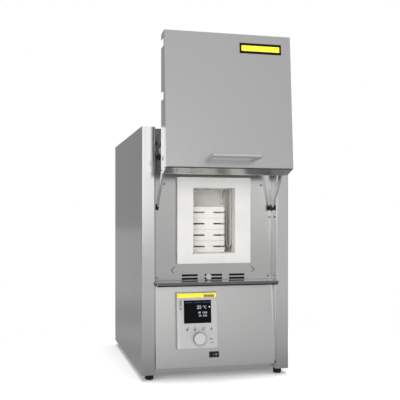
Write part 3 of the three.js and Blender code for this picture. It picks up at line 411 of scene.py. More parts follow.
# Black: the air slide, and the painted shade of the channel behind the air slots.
steel("black_oxide_and_painted_shade", (0.03, 0.03, 0.03), along_x, (0.4, 0.5), 0.2)
steel("bright_steel", (0.66, 0.66, 0.66), along_z, (0.16, 0.2), 0.04)
steel("handle_steel", (0.62, 0.62, 0.62), along_x, (0.28, 0.31), 0.04)
steel("screw_steel", (0.34, 0.34, 0.34), along_z, (0.3, 0.36), 0.05)
steel("wire_steel", (0.3, 0.3, 0.295), along_x, (0.3, 0.36), 0.05)
mineral("fibre", (0.66, 0.655, 0.63))
mineral("chamber_fibre", (0.93, 0.92, 0.88), darkest=0.93)
mineral("blanket", (0.8, 0.78, 0.7), scale=200.0, coarse=25.0, depth=0.002)
mineral("ceramic", (0.82, 0.81, 0.775), 0.8, 700.0, 60.0, 0.0002)
mineral("element_glaze", (0.5, 0.485, 0.44), 0.5, 500.0, 60.0, 0.0002, 0.8)
moulded("silver_plastic", (0.4, 0.4, 0.405), (0.36, 0.42))
moulded("dial_plastic", (0.43, 0.43, 0.435), (0.3, 0.36))
moulded("black_plastic", (0.012, 0.012, 0.013), (0.38, 0.5), shine=0.3)
# Black rubber: the feet and the arm buffers, and the painted shadow of the strips under the sill's lip and
# along the door's front edge.
moulded("rubber", (0.012, 0.012, 0.012), (0.7, 0.8), 600.0, 0.3, shine=0.2)
moulded("display_glass", (0.002, 0.002, 0.003), (0.28, 0.32), strength=0.01, shine=0.08)
moulded("copper_wire", (0.42, 0.16, 0.06), (0.35, 0.45), metallic=0.8)
moulded("circuit_board", (0.03, 0.16, 0.06), (0.5, 0.6))
moulded("core_steel", (0.12, 0.125, 0.13), (0.45, 0.55), metallic=0.6)
moulded("yellow_print", (0.9, 0.78, 0.03), (0.4, 0.48))
moulded("olive_print", (0.26, 0.2, 0.03), (0.4, 0.48))
moulded("black_print", (0.006, 0.006, 0.006), (0.35, 0.45), shine=0.1)
# Grey print: the touch marks and slot marks, and the painted shade round the dial's side.
moulded("grey_print_and_painted_shade", (0.13, 0.13, 0.14), (0.45, 0.5))
moulded("light_grey_print", (0.23, 0.23, 0.24), (0.45, 0.5))
moulded("lit_print", (0.4, 0.44, 0.45), (0.4, 0.5), glow=0.45)
moulded("violet_print", (0.03, 0.028, 0.06), (0.4, 0.5), glow=0.3, shine=0.1)
moulded("white_print", (0.5, 0.5, 0.5), (0.4, 0.5))
print("finishes", len(finishes))

# %% [markdown]
# Sheet metal never has a razor edge: the fold and the cut both leave a small radius, which catches
# the light. The construction solids have sharp edges, so each one is copied, its triangles are
# merged into clean faces, and its edges get a small bevel.

# %% Dress a construction solid with fine edges
sharp_angle = radians(40)


def merged_copy(node):
    bm = bmesh.new()
    bm.from_mesh(nodes[node].data)
    bmesh.ops.remove_doubles(bm, verts=bm.verts, dist=1e-6)
    bmesh.ops.dissolve_limit(bm, angle_limit=radians(0.5), verts=bm.verts, edges=bm.edges)
    return bm


def only(kind, parts):
    """The parts of one kind out of a mixed list: bmesh.types.BMVert or bmesh.types.BMEdge."""
    return [part for part in parts if isinstance(part, kind)]


def bevel(bm, geom, offset, segments=1, affect="EDGES"):
    bmesh.ops.bevel(bm, geom=geom, offset=offset, segments=segments, profile=0.5, affect=affect, material=-1)


def thicken(bm, distance):
    """Extrudes a flat outline upwards."""
    grown = bmesh.ops.extrude_face_region(bm, geom=bm.faces[:])["geom"]
    bmesh.ops.translate(bm, vec=(0, 0, distance), verts=only(bmesh.types.BMVert, grown))


def to_object(bm, name, finish):
    """Puts a bmesh into the scene at the origin, shaded smooth except over sharp edges."""
    bm.normal_update()
    for face in bm.faces:
        face.smooth = True
    for edge in bm.edges:
        edge.smooth = len(edge.link_faces) == 2 and edge.calc_face_angle(0) < sharp_angle
    mesh = bpy.data.meshes.new(name)
    bm.to_mesh(mesh)
    bm.free()
    mesh.materials.append(finishes[finish])
    made = bpy.data.objects.new(name, mesh)
    bpy.context.scene.collection.objects.link(made)
    return made


def place_piece(bm, name, finish, body):
    """A closed piece that rides on a body."""
    bmesh.ops.recalc_face_normals(bm, faces=bm.faces)
    made = to_object(bm, name, finish)
    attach(made, body)


def stand_for(made, node):
    """The piece rides on the node's body and is shown in its place."""
    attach(made, nodes[node]["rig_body"])
    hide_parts(node)


def dress(bm, node, finish, width):
    """A copy that stands for the node, with bevelled edges and normals that keep its faces flat."""
    made = to_object(bm, f"{node}_dressed", finish)
    if width:
        edge = made.modifiers.new("edge", "BEVEL")
        edge.width = width
        edge.segments = 2
        edge.limit_method = "ANGLE"
        edge.angle_limit = sharp_angle
        edge.harden_normals = True
        edge.miter_outer = "MITER_SHARP"
    normals = made.modifiers.new("even_normals", "WEIGHTED_NORMAL")
    normals.keep_sharp = True
    normals.weight = 80
    stand_for(made, node)


# %% [markdown]
# Each row gives a finish, the width of the edge in millimetres and the solids that get both.
# Thin sheet has fine edges, and cut fibre board crumbles to a wider one.

# %% Dress the solids that show
dressed_solids = [
    ("side_steel", 0.4, "side_panel_left side_panel_right"),
    ("cover_steel", 0.4, "top_cover"),
    ("rear_steel", 0.3, "rear_panel middle_deck"),
    ("rear_steel", 0.4, "base_tray door_frame"),
    ("recess_steel", 0.3, "front_plate"),
    ("sill_steel", 0.4, "sill"),
    ("panel_steel", 0.6, "control_panel"),
    ("silver_plastic", 0.6, "controller_case"),
    ("dial_plastic", 0.5, "control_dial"),
    ("black_plastic", 0.3, "fan_rotor"),
    ("black_plastic", 0.4, "switch_frame lower_bearing_left lower_bearing_right upper_bearing_left "
     "upper_bearing_right cable_gland"),
    ("black_plastic", 0.5, "switch_rocker"),
    ("black_plastic", 0.8, "fan_frame"),
    ("chamber_fibre", 0.6, "chamber_roof_board"),
    ("chamber_fibre", 0.8, "chamber_wall_left chamber_wall_right chamber_floor_board chamber_back_board"),
    ("ceramic", 0.4, "thermocouple"),
    ("ceramic", 0.6, "element_holder_left element_holder_right"),
    ("ceramic", 0.8, "saggar_1 saggar_2 saggar_3 saggar_4"),
    ("black_oxide_and_painted_shade", 0.2, "air_slide"),
    ("bright_steel", 0.3, "exhaust_pipe fan_guard encoder_shaft"),
    ("bright_steel", 0.4, "air_slide_knob"),
    ("bright_steel", 0.5, "lower_arm_left lower_arm_right upper_arm_left upper_arm_right"),
    ("door_steel", 0.5, "door_shell"),
    ("fibre", 1.0, "door_plug"),
    ("handle_steel", 0, "door_handle"),
    ("display_glass", 0.3, "controller_display"),
    ("rubber", 0.8, "foot_front_left foot_front_right foot_rear_left foot_rear_right"),
    ("blanket", 2.0, "insulation_jacket"),
    ("core_steel", 0.3, "power_unit_heat_sink"),
    ("core_steel", 0.5, "transformer_core"),
    ("copper_wire", 2.0, "transformer_coil"),
    ("circuit_board", 0.2, "controller_board"),
]
for finish, width, names in dressed_solids:
    for node in names.split():
        dress(merged_copy(node), node, finish, width * MM)
print("dressed", sum(len(names.split()) for finish, width, names in dressed_solids))

# %% [markdown]
# The folded sides of the door get a second material, a steel painted much brighter than its
# ground front: a painted highlight for the light that the sides catch.

# %% Sides of the door
door_mesh = bpy.data.objects["door_shell_dressed"].data
door_mesh.materials.append(finishes["painted_highlight_steel"])
fold_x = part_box("door_shell")[1].x - 0.5 * MM
fold_faces = [face for face in door_mesh.polygons if abs(face.normal.x) > 0.9 and abs(face.center.x) > fold_x]
for face in fold_faces:
    face.material_index = 1
print("door sides", len(fold_faces), "faces")

# %% [markdown]
# The collar round the chamber is a soft board, so the edges that ware is slid over wear off. The
# lower edge of its mouth and the edge on the right are cut to a slope, and then the piece is
# dressed as the others are.

# %% Collar with a sloped mouth
mouth_slope = 4.5 * MM


def opening_edge(edge, front, chamber_low, chamber_high):
    """True for the lower and the right edge of the opening in the collar's front face."""
    ends = [vert.co for vert in edge.verts]
    near = 2 * MM
    on_front = all(abs(end.y - front) < tolerance for end in ends)
    low = all(abs(end.z - chamber_low.z) < near and abs(end.x) < chamber_high.x + near for end in ends)
    right = all(abs(end.x - chamber_high.x) < near
                and chamber_low.z - near < end.z < chamber_high.z + near for end in ends)
    return on_front and (low or right)


bm = merged_copy("chamber_collar")
collar_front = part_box("chamber_collar")[0].y
mouth_low, mouth_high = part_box("chamber_back_board")
mouth_edges = [edge for edge in bm.edges if opening_edge(edge, collar_front, mouth_low, mouth_high)]
bevel(bm, mouth_edges, mouth_slope)
dress(bm, "chamber_collar", "fibre", 1.2 * MM)
print("mouth edges", len(mouth_edges))

# %% [markdown]
# A heating element is a rod bent to a U, with thicker cold ends. A ring is extruded down, spun half
# a turn round the bend, and extruded up again.

# %% Heating elements
wire_radius = 4 * MM
terminal_radius = 6 * MM
wire_sides = 20
bend_steps = 20


def draw_out(bm, edges, distance):
    """Extrudes a ring of edges, moves the new ring and returns its edges."""
    made = bmesh.ops.extrude_edge_only(bm, edges=edges)["geom"]
    bmesh.ops.translate(bm, vec=distance, verts=only(bmesh.types.BMVert, made))
    return [edge for edge in only(bmesh.types.BMEdge, made) if all(vert in made for vert in edge.verts)]


def heating_element(node):
    low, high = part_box(node)
    roof_low, roof_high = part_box("chamber_roof_board")
    x = (low.x + high.x) / 2
    front, rear = low.y + terminal_radius, high.y - terminal_radius
    bend = (rear - front) / 2
    top = (roof_low.z + roof_high.z) / 2
    bend_z = low.z + wire_radius + bend
    bm = bmesh.new()
    bmesh.ops.create_circle(bm, segments=wire_sides, radius=wire_radius, cap_ends=True,
                            matrix=Matrix.Translation((x, front, top)))
    ring = draw_out(bm, bm.edges[:], Vector((0, 0, bend_z - top)))
    turned = bmesh.ops.spin(bm, geom=ring, cent=(x, front + bend, bend_z), axis=(1, 0, 0),
                            angle=pi, steps=bend_steps, use_merge=False)["geom_last"]
    ring = draw_out(bm, only(bmesh.types.BMEdge, turned), Vector((0, 0, top - bend_z)))
    bmesh.ops.holes_fill(bm, edges=ring, sides=0)
    for y in (front, rear):
        place = Matrix.Translation((x, y, (top + high.z) / 2))
        bmesh.ops.create_cone(bm, cap_ends=True, segments=wire_sides, radius1=terminal_radius,
                              radius2=terminal_radius, depth=high.z - top, matrix=place)
    bmesh.ops.recalc_face_normals(bm, faces=bm.faces)
    made = to_object(bm, f"{node}_rod", "element_glaze")
    stand_for(made, node)
    heights = [round(vert.co.z, 4) for vert in made.data.vertices]
    print(node, "from", min(heights), "to", max(heights))


for side in named_sides:
    heating_element(f"heating_element_{side}")

# %% [markdown]
# Sheet metal is held by small screws with button heads and a socket. One head is a low cone whose
# top is inset and pushed in. The heads of one group are joined into one piece.

# %% Screw heads
# The form of a head as shares of its radius, and the depth of the socket as a share of the height
head_height, head_top, head_rim, socket_depth = 0.55, 0.7, 0.28, 0.6


def at(x, y, z):
    """A point in millimetres, with y measured back from the front face of the cabinet."""
    return Vector((x * MM, front_y + y * MM, z * MM))


def middle_of(node):
    low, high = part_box(node)
    return (low + high) / 2


def half_width(node):
    low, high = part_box(node)
    return (high.x - low.x) / 2


def screw_head(bm, place, outwards, radius):
    height = radius * head_height
    turn = outwards.to_track_quat("Z", "Y").to_matrix().to_4x4()
    matrix = Matrix.Translation(place) @ turn @ Matrix.Translation((0, 0, height / 2))
    made = bmesh.ops.create_cone(bm, cap_ends=True, segments=18, radius1=radius, radius2=radius * head_top,
                                 depth=height, matrix=matrix)
    faces = {face for vert in made["verts"] for face in vert.link_faces}
    top = max(faces, key=lambda face: face.calc_center_median().dot(outwards))
    bmesh.ops.inset_region(bm, faces=[top], thickness=radius * head_rim)
    socket = bmesh.ops.extrude_discrete_faces(bm, faces=[top])["faces"][0]
    bmesh.ops.translate(bm, vec=outwards * -height * socket_depth, verts=socket.verts)


def screws(name, places, radius=3.2, finish="screw_steel", body="cabinet"):
    bm = bmesh.new()
    for place, outwards in places:
        screw_head(bm, place, Vector(outwards).normalized(), radius * MM)
    place_piece(bm, name, finish, body)
    print(name, len(places), "heads")


side_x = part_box("side_panel_right")[1].x / MM
plate_low, plate_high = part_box("front_plate")
wall_gap = 0.3
wall_x = plate_high.x / MM + wall_gap
plate_y = (plate_low.y - front_y) / MM
rear_y = (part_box("rear_panel")[1].y - front_y) / MM
top_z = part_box("top_cover")[1].z / MM
flush_depth = 1.85
fan_x, fan_z, fan_screw_reach = 95, 150, 52.3
screws("side_panel_screws", [
    (at(side * (side_x - flush_depth), y, 281), (side, 0, 0))
    for side in sides for y in (94, 276, 458)], 3.6, "dark_steel_and_painted_shade")
screws("front_plate_screws", [
    (at(side * x, plate_y, z), (0, -1, 0))
    for side in sides for x, z in ((158, 599), (181, 308))], 3.6)
screws("recess_wall_screws", [
    (at(side * wall_x, 13, 497), (-side, 0, 0)) for side in sides], 4.2)
screws("rear_panel_screws", [
    (at(side * (side_x - 26), rear_y, z), (0, 1, 0)) for side in sides for z in (60, 390, 715)])
screws("fan_screws", [
    (at(fan_x + side * fan_screw_reach, rear_y, fan_z + rise * fan_screw_reach), (0, 1, 0))
    for side in sides for rise in sides], 3.6)
screws("top_cover_screws", [
    (at(side * (side_x - 14), y, top_z), (0, 0, 1)) for side in sides for y in (60, 325, 600)])

# %% [markdown]
# The door's screws are placed on its raised shell: two on each side, a row on the slanted
# underside, and the columns that hold the rear frame. The shell's lowest edge is its keel.

# %% Door screws
door_low, door_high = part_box("door_shell")
door_x = door_high.x / MM
keel_depth = 31
keel_y, keel_z = (door_high.y - front_y) / MM - keel_depth, door_low.z / MM
slant_reach, slant_rise = 46, 16
slant_out = Vector((0, -slant_rise, -slant_reach)).normalized()
frame_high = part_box("door_frame")[1]
frame_back, frame_x = (frame_high.y - front_y) / MM, frame_high.x / MM
screws("door_side_screws", [
    (at(side * door_x, y, z), (side, 0, 0))
    for side in sides for y, z in ((-139, 637), (-90, 632))], 2.6, body="door")
screws("door_underside_screws", [
    (at(side * x, keel_y - slant_reach / 2, keel_z + slant_rise / 2), slant_out)
    for side in sides for x in (80, 154, 166)], 3, body="door")
screws("door_frame_screws", [
    (at(side * (frame_x - 10), frame_back, keel_z + z), (0, 1, 0))
    for side in sides for z in (25, 205, 385)], body="door")

# %% [markdown]
# Each arm ends at its fixed pivot in a black moulded shoe. A disc whose one half is pushed along
# the arm gives the round-ended block, and a cut across it squares it off.

# %% Arm shoes
raised_angle = radians(50)
shoe_radius = 10.2 * MM
shoe_proud = 0.25 * MM
shoe_edge = 0.6 * MM
shoe_reach = {"lower": 9 * MM, "upper": 16 * MM}
# The inner and the outer face of the flat arms, from the middle of the furnace
arm_faces = {"lower": (182 * MM, 187 * MM), "upper": (175 * MM, 180 * MM)}


def arm_shoe(level, side):
    arm = f"{level}_arm_{side}"
    pivot = middle_of(f"{level}_bearing_{side}")
    inner, outer = arm_faces[level][0] - shoe_proud, arm_faces[level][1] + shoe_proud
    sign, reach = named_sides[side], shoe_reach[level]
    bm = bmesh.new()
    bmesh.ops.create_circle(bm, segments=40, radius=shoe_radius, cap_ends=True)
    bmesh.ops.translate(bm, vec=(reach, 0, 0), verts=[vert for vert in bm.verts if vert.co.x > 0])
    thicken(bm, outer - inner)
    cut = bmesh.ops.bisect_plane(bm, geom=bm.verts[:] + bm.edges[:] + bm.faces[:], plane_co=(reach, 0, 0),
                                 plane_no=(1, 0, 0), clear_outer=True)["geom_cut"]
    bmesh.ops.holes_fill(bm, edges=only(bmesh.types.BMEdge, cut), sides=0)
    bmesh.ops.recalc_face_normals(bm, faces=bm.faces)
    bevel(bm, [edge for edge in bm.edges if edge.calc_face_angle(0) > sharp_angle], shoe_edge, 2)
    along = Vector((0, -cos(raised_angle), sin(raised_angle)))
    across = Vector((0, sin(raised_angle), cos(raised_angle)))
    start = Vector((sign * inner, pivot.y, pivot.z))
    basis = Matrix((along, across, Vector((sign, 0, 0)))).transposed().to_4x4()
    bmesh.ops.transform(bm, matrix=Matrix.Translation(start) @ basis, verts=bm.verts)
    place_piece(bm, f"{arm}_shoe", "black_plastic", nodes[arm]["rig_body"])
    print(arm, "shoe at height", round(pivot.z, 4))


for level in arm_faces:
    for side in named_sides:
        arm_shoe(level, side)

# %% [markdown]
# Prints, foils and plates all lie on some flat face, and two of those faces lean. So a drawing
# board is measured from a solid first: its widest face on one side, the middle of that face, and
# its right, up and outward directions. A print is then drawn flat on the board.

# %% Drawing boards
letter_thickness = 0.1 * MM


def drawing_board(node, towards=(0, -1, 0), likeness=0.8):
    """A matrix that lays x, y and height on the node's widest face towards one side."""
    mesh = nodes[node].data
    facing = [face for face in mesh.polygons if face.normal.dot(Vector(towards).normalized()) > likeness]
    widest = max(facing, key=lambda face: face.area)
    out = widest.normal.copy()
    up = (Vector((0, 0, 1)) - out * out.z).normalized()
    right = up.cross(out)
    on_face = [vert.co for vert in mesh.vertices if abs((vert.co - widest.center).dot(out)) < tolerance]
    middle = out * widest.center.dot(out)
    for way in (right, up):
        reaches = [point.dot(way) for point in on_face]
        middle += way * (min(reaches) + max(reaches)) / 2
    board = Matrix((right, up, out)).transposed().to_4x4()
    return Matrix.Translation(middle) @ board


def rounded_plate(bm, board, thick, base, x, y, width, height, radius, turn=0.0):
    """A flat plate in millimetres with its middle at x, y on the board, and its back at the base."""
    sheet = bmesh.new()
    bmesh.ops.create_grid(sheet, x_segments=1, y_segments=1, size=0.5)
    bmesh.ops.scale(sheet, vec=(width * MM, height * MM, 1), verts=sheet.verts)
    bevel(sheet, sheet.verts[:], radius * MM, 5, "VERTICES")
    thicken(sheet, thick * MM)
    place = Matrix.Translation((x * MM, y * MM, base * MM)) @ Matrix.Rotation(turn, 4, "Z")
    bmesh.ops.transform(sheet, matrix=board @ place, verts=sheet.verts)
    mesh = bpy.data.meshes.new("sheet")
    sheet.to_mesh(mesh)
    sheet.free()
    bm.from_mesh(mesh)
    bpy.data.meshes.remove(mesh)


def printed(name, finish, board, body, slot_node, shapes, thick=0.12, base=0.0):
    """Each shape is (x, y, width, height, corner radius) in millimetres, with any turn last."""
    bm = bmesh.new()
    for shape in shapes:
        rounded_plate(bm, board, thick, base, *shape)
    place_piece(bm, name, finish, body)
    print(name, len(shapes), "shapes")


def curve_to_bmesh(curve):
    """Draws a curve or text once, takes its mesh and removes it."""
    drawn = bpy.data.objects.new(curve.name, curve)
    bpy.context.scene.collection.objects.link(drawn)
    bpy.context.view_layer.update()
    mesh = bpy.data.meshes.new_from_object(drawn)
    bpy.data.objects.remove(drawn)
    bpy.data.curves.remove(curve)
    bm = bmesh.new()
    bm.from_mesh(mesh)
    bpy.data.meshes.remove(mesh)
    bmesh.ops.remove_doubles(bm, verts=bm.verts, dist=1e-7)
    return bm


def lettering(name, words, finish, board, body, slot_node, x, y, size):
    """Letters in the middle of x, y on the board. Size and places are in millimetres."""
    curve = bpy.data.curves.new(name, "FONT")
    curve.body = words
    curve.size = size * MM
    curve.extrude = letter_thickness / 2
    curve.align_x = "CENTER"
    curve.align_y = "CENTER"
    bm = curve_to_bmesh(curve)
    place = Matrix.Translation((x * MM, y * MM, letter_thickness / 2))
    bmesh.ops.transform(bm, matrix=board @ place, verts=bm.verts)
    place_piece(bm, name, finish, body)


case_board = drawing_board("controller_case")
display_board = drawing_board("controller_display")
door_board = drawing_board("door_shell")
print("door board", [round(value, 4) for value in door_board.translation])

# %% [markdown]
# A black anodised plate sits in the upper corner of the door, with a plain yellow bar let into it.

# %% Plate on the door
door_face = (door_board, "door", "controller_display")
middle, plate, bar = (97, 156), (128, 31, 0.8), (117, 16.5, 1.5)
plate_thickness = 0.6
printed("door_plate", "black_print", *door_face, [(*middle, *plate)], plate_thickness)
printed("door_plate_bar", "yellow_print", *door_face, [(*middle, *bar)], 0.15, plate_thickness)

# %% [markdown]
# The controller's front is a printed foil: a yellow band with a darker field at the top, a small
# grey flap, four touch marks under the display and the marks of a memory slot by the dial.

# %% Controller foil
controller = (case_board, "cabinet", "controller_case")
printed("case_edge", "dial_plastic", *controller, [(-58.6, 0, 9.6, 169, 2)], thick=0.5)
printed("foil_band", "yellow_print", *controller, [(-0.8, 77, 123, 13, 0.8)], base=0.5)
printed("foil_field", "olive_print", *controller, [(37.5, 75, 34, 8, 0.8)], base=0.62)
printed("flap", "light_grey_print", *controller, [(-52.6, 48, 8, 30, 1.2)], thick=0.6, base=0.3)
printed("flap_ring", "white_print", *controller, [(-52.6, 43, 4, 4, 1.9)], base=0.9)
touch_y = -26
printed("touch_marks", "grey_print_and_painted_shade", *controller, [
    (-33, touch_y - 1.5, 7, 6, 0.8), (-30.5, touch_y + 3.5, 6.5, 3, 0.6, radians(40)),
    (-8.5, touch_y - 1, 7.5, 7, 3.2), (-8.5, touch_y + 5, 2, 4, 0.4),
    (16, touch_y, 2.2, 12, 0.6, radians(-25)), (21, touch_y, 2.2, 12, 0.6, radians(-25)),
    (43.5, touch_y - 1.5, 7.5, 6, 2.8), (43.5, touch_y + 4.5, 1.8, 5, 0.4),
])
printed("slot_marks", "grey_print_and_painted_shade", *controller, [
    (42, -57, 11, 2.4, 0.4), (38, -59.5, 2.2, 3.4, 0.3), (46, -59.2, 2.2, 2.6, 0.3), (45, -69, 14, 2, 0.3),
])

# %% [markdown]
# The display shows plain figures. They glow a little, so they stay readable on the dark glass.

# %% Display figures
display = (display_board, "cabinet", "controller_display")
figures = [
    ("reading", "25", 5, 13, 14.5), ("reading_unit", "°C", 22.5, 13, 12),
    ("setting", "08  1200", 16, -3.5, 8), ("time_left", "04  0:45", 17, -13, 8),
]
for name, words, x, y, size in figures:
    lettering(name, words, "lit_print", *display, x, y, size)
printed("reading_dot", "lit_print", *display, [(37.5, 14, 4.6, 4.6, 2.2)])
printed("status_row", "violet_print", *display, [
    (-28, 28.5, 22, 3.2, 0.5), (-1, 28.5, 24, 3.2, 0.5), (28, 28.5, 24, 3.2, 0.5),
])

# %% [markdown]
# The rocker carries the usual I and O. Its two halves tip, so each mark has its own board.

# %% Rocker marks
rocker_body = nodes["switch_rocker"]["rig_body"]
for name, words, facing in (("rocker_on", "I", (0.37, -0.93, 0)), ("rocker_off", "O", (-0.1, -0.99, 0))):
    board = drawing_board("switch_rocker", facing, 0.96)
    lettering(name, words, "white_print", board, rocker_body, "switch_rocker", 0, 0, 6.5)

# %% [markdown]
# Two small clips of bent spring wire sit on the front plate, by the ends of the air slots. Each is
# a curve with a round section.

# %% Spring wires
wire_thickness = 1.1 * MM
clip_x, clip_z, clip_reach = 127, 332, 7


def bent_wire(name, points, finish, body):
    curve = bpy.data.curves.new(name, "CURVE")
    curve.dimensions = "3D"
    curve.bevel_depth = wire_thickness
    curve.bevel_resolution = 3
    curve.use_fill_caps = True
    line = curve.splines.new("BEZIER")
    line.bezier_points.add(len(points) - 1)
    for knot, point in zip(line.bezier_points, points):
        knot.co = point
        knot.handle_left_type = "AUTO"
        knot.handle_right_type = "AUTO"
    place_piece(curve_to_bmesh(curve), name, finish, body)
    print(name, len(points), "points")


for name, side in named_sides.items():
    x, reach = side * clip_x, side * clip_reach
    bent_wire(f"spring_wire_{name}", [
        at(x - reach / 2, plate_y - 1.2, clip_z + 10), at(x + reach / 2, plate_y - 1.6, clip_z + 4),
        at(x + reach, plate_y - 2, clip_z - 0.5), at(x + reach / 2, plate_y - 1.6, clip_z - 5),
        at(x, plate_y - 1.2, clip_z - 9),
    ], "wire_steel", "cabinet")

# %% [markdown]
# Behind, each louvre slot has a pressed hood that keeps drips out. A hood is a block with its
# outer edges rounded off above, and a loop makes both columns.

# %% Louvre hoods
louvre_count, louvre_pitch, louvre_bottom = 8, 16, 420
louvre_length, louvre_height, louvre_place = 120, 5, 76
hood_depth, hood_height = 4.5, 9
hood_round = 0.9 * hood_depth


def block(bm, low, high):
    """A block between two corners. Returns its edges."""
    span = Matrix.Diagonal((*(abs(length) for length in high - low), 1))
    made = bmesh.ops.create_cube(bm, size=1, matrix=Matrix.Translation((low + high) / 2) @ span)
    bm.normal_update()
    return {edge for vert in made["verts"] for edge in vert.link_edges}


def louvre_hood(bm, x, z):
    low = at(x - louvre_length / 2, rear_y, z - hood_height / 2)
    high = at(x + louvre_length / 2, rear_y + hood_depth, z + hood_height / 2)
    outer = [edge for edge in block(bm, low, high)
             if all(vert.co.y > high.y - tolerance for vert in edge.verts)]
    upper = [edge for edge in outer if max(vert.co.z for vert in edge.verts) > z * MM]
    bevel(bm, upper, hood_round * MM, 5)


hoods = bmesh.new()
for side in sides:
    for row in range(louvre_count):
        louvre_hood(hoods, side * louvre_place, louvre_bottom + row * louvre_pitch + louvre_height)
place_piece(hoods, "louvre_hoods", "rear_steel", "cabinet")
print("louvre hoods", 2 * louvre_count)

# %% [markdown]
# Several fittings are thin sheets and strips. Each starts as a block between two corners. A sheet
# gets round corners, and a channel has its open side inset and pushed in.

# %% Sheets, strips and a channel


def rounded_block(name, low, high, radius, along, finish, body):
    """A block whose edges that run along one direction are rounded."""
    bm = bmesh.new()
    block(bm, low, high)
    edges = [edge for edge in bm.edges
             if abs((edge.verts[0].co - edge.verts[1].co).normalized().dot(Vector(along))) > 0.9]
    bevel(bm, edges, radius, 3)
    place_piece(bm, name, finish, body)
    print(name, [round(length / MM, 1) for length in high - low])


# The thin bright strips on the recess walls are painted highlight: bright steel laid on the walls so that
# they read as catching the light.
highlight_near, highlight_far = wall_x - 0.28, wall_x - 0.05
highlight_front, highlight_back = 0.6, plate_y - 0.4
upper_highlight = (plate_low.z / MM + wall_gap, plate_high.z / MM - wall_gap)
for name, side in named_sides.items():
    for part, low, high in (("upper", *upper_highlight), ("lower", 46, 286)):
        rounded_block(f"recess_lining_{part}_{name}", at(side * highlight_near, highlight_front, low),
                      at(side * highlight_far, highlight_back, high), 2 * MM, (1, 0, 0),
                      "painted_highlight_steel", "cabinet")
# The black strip under the sill's lip is painted shadow: it stands for the dark gap between the lip and the
# control panel.
rounded_block("sill_gap_painted_shadow", at(-190, -26.2, 286.2), at(190, -21.2, 297.2), 1.6 * MM, (1, 0, 0),
              "rubber", "cabinet")
# The dark strip on the front of the sill's lip is painted shade and painted reflection: it darkens the lip as
# the shade at the edge and the mirrored slots do.
rounded_block("sill_lip_painted_shade", at(-191.5, -28.25, 290.6), at(191.5, -27.9, 298.2), 1.2 * MM, (0, 1, 0),
              "dark_steel_and_painted_shade", "cabinet")
# The black channel behind the air slots is painted shade: it makes the slots read as dark as the shade inside
# them.
channel = bmesh.new()
channel_wall = 1 * MM
channel_low, channel_high = at(-106, 48.6, 300.2), at(106, 55.2, 322.8)
block(channel, channel_low, channel_high)
mouth = min(channel.faces, key=lambda face: face.normal.y)
bmesh.ops.inset_region(channel, faces=[mouth], thickness=channel_wall)
channel_bottom = bmesh.ops.extrude_discrete_faces(channel, faces=[mouth])["faces"][0]
channel_depth = channel_high.y - channel_low.y - channel_wall
bmesh.ops.translate(channel, vec=(0, channel_depth, 0), verts=channel_bottom.verts)
place_piece(channel, "slot_shade_channel", "black_oxide_and_painted_shade", "cabinet")
print("air channel", round(channel_depth / MM, 1), "deep")

# %% [markdown]
# The control panel leans, so it can't touch the upright walls beside it. A strip set back a
# little in each gap keeps dust out. It's drawn on the panel's own board, below its surface.

# %% Strips beside the control panel
panel_board = drawing_board("control_panel")
panel_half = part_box("control_panel")[1].x / MM
strip_width = wall_x - panel_half - 0.5
strip_middle = (wall_x + panel_half) / 2
strip_height = 240
printed("panel_strips", "rear_steel", panel_board, "cabinet", "control_panel", [
    (side * strip_middle - panel_board.translation.x / MM, 0, strip_width, strip_height, 0.2)
    for side in sides], thick=1.2, base=-2.6)

# %% [markdown]
# The slanted underside of the door is a sheet of its own, screwed on. A black strip along its
# front edge is painted shadow, for the shadow gap there. Its drawing board is the slanted face of the door
# shell.

# %% Underside of the door
underside_board = drawing_board("door_shell", (0, -0.33, -0.94), 0.97)
printed("door_underside", "underside_steel", underside_board, "door", "door_shell",
        [(0, -2, 376, 41, 1)], thick=0.3, base=0.05)
printed("door_edge_painted_shadow", "rubber", underside_board, "door", "foot_front_left",
        [(0, 20.9, 377, 3.6, 0.3)], thick=0.25, base=0.05)

# %% [markdown]
# Round fittings are spun from half a section: the flange ring round the exhaust pipe, a dark
# ring round the side of the dial, which is painted shade, and the rubber buffers beside the raised arms.

# %% Spun rings


def spun_ring(name, profile, centre, axis, finish, body, steps=48):
    """Profile points are (radius, height) in metres, round an axis through the centre."""
    bm = bmesh.new()
    verts = [bm.verts.new((radius, 0, height)) for radius, height in profile]
    edges = [bm.edges.new((a, b)) for a, b in zip(verts, verts[1:] + verts[:1])]
    bmesh.ops.spin(bm, geom=verts + edges, cent=(0, 0, 0), axis=(0, 0, 1), angle=2 * pi, steps=steps,
                   use_merge=True)
    bmesh.ops.remove_doubles(bm, verts=bm.verts, dist=1e-6)
    turn = Vector(axis).to_track_quat("Z", "Y").to_matrix().to_4x4()
    bmesh.ops.transform(bm, matrix=Matrix.Translation(centre) @ turn, verts=bm.verts)
    place_piece(bm, name, finish, body)


pipe_centre = middle_of("exhaust_pipe")
pipe_radius = half_width("exhaust_pipe")
pipe_centre.z = top_z * MM
spun_ring("exhaust_flange", [
    (pipe_radius + 0.4 * MM, 0.1 * MM), (pipe_radius + 9 * MM, 0.1 * MM), (pipe_radius + 9 * MM, 0.9 * MM),
    (pipe_radius + 3 * MM, 1.5 * MM), (pipe_radius + 1.4 * MM, 4 * MM), (pipe_radius + 0.4 * MM, 4 * MM),
], pipe_centre, (0, 0, 1), "bright_steel", "cabinet")
buffer_place = (16, 720)
for name, side in named_sides.items():
    spun_ring(f"arm_buffer_{name}", [
        (0, 0), (6.5 * MM, 0), (6.5 * MM, 4 * MM), (5.5 * MM, 7 * MM), (3 * MM, 8.4 * MM), (0, 8.8 * MM),
    ], at(side * (wall_x - wall_gap), *buffer_place), (-side, 0, 0), "rubber", "cabinet",
        32)
dial_out = case_board.to_3x3().col[2]
dial_middle = middle_of("control_dial")
dial_radius = half_width("control_dial")
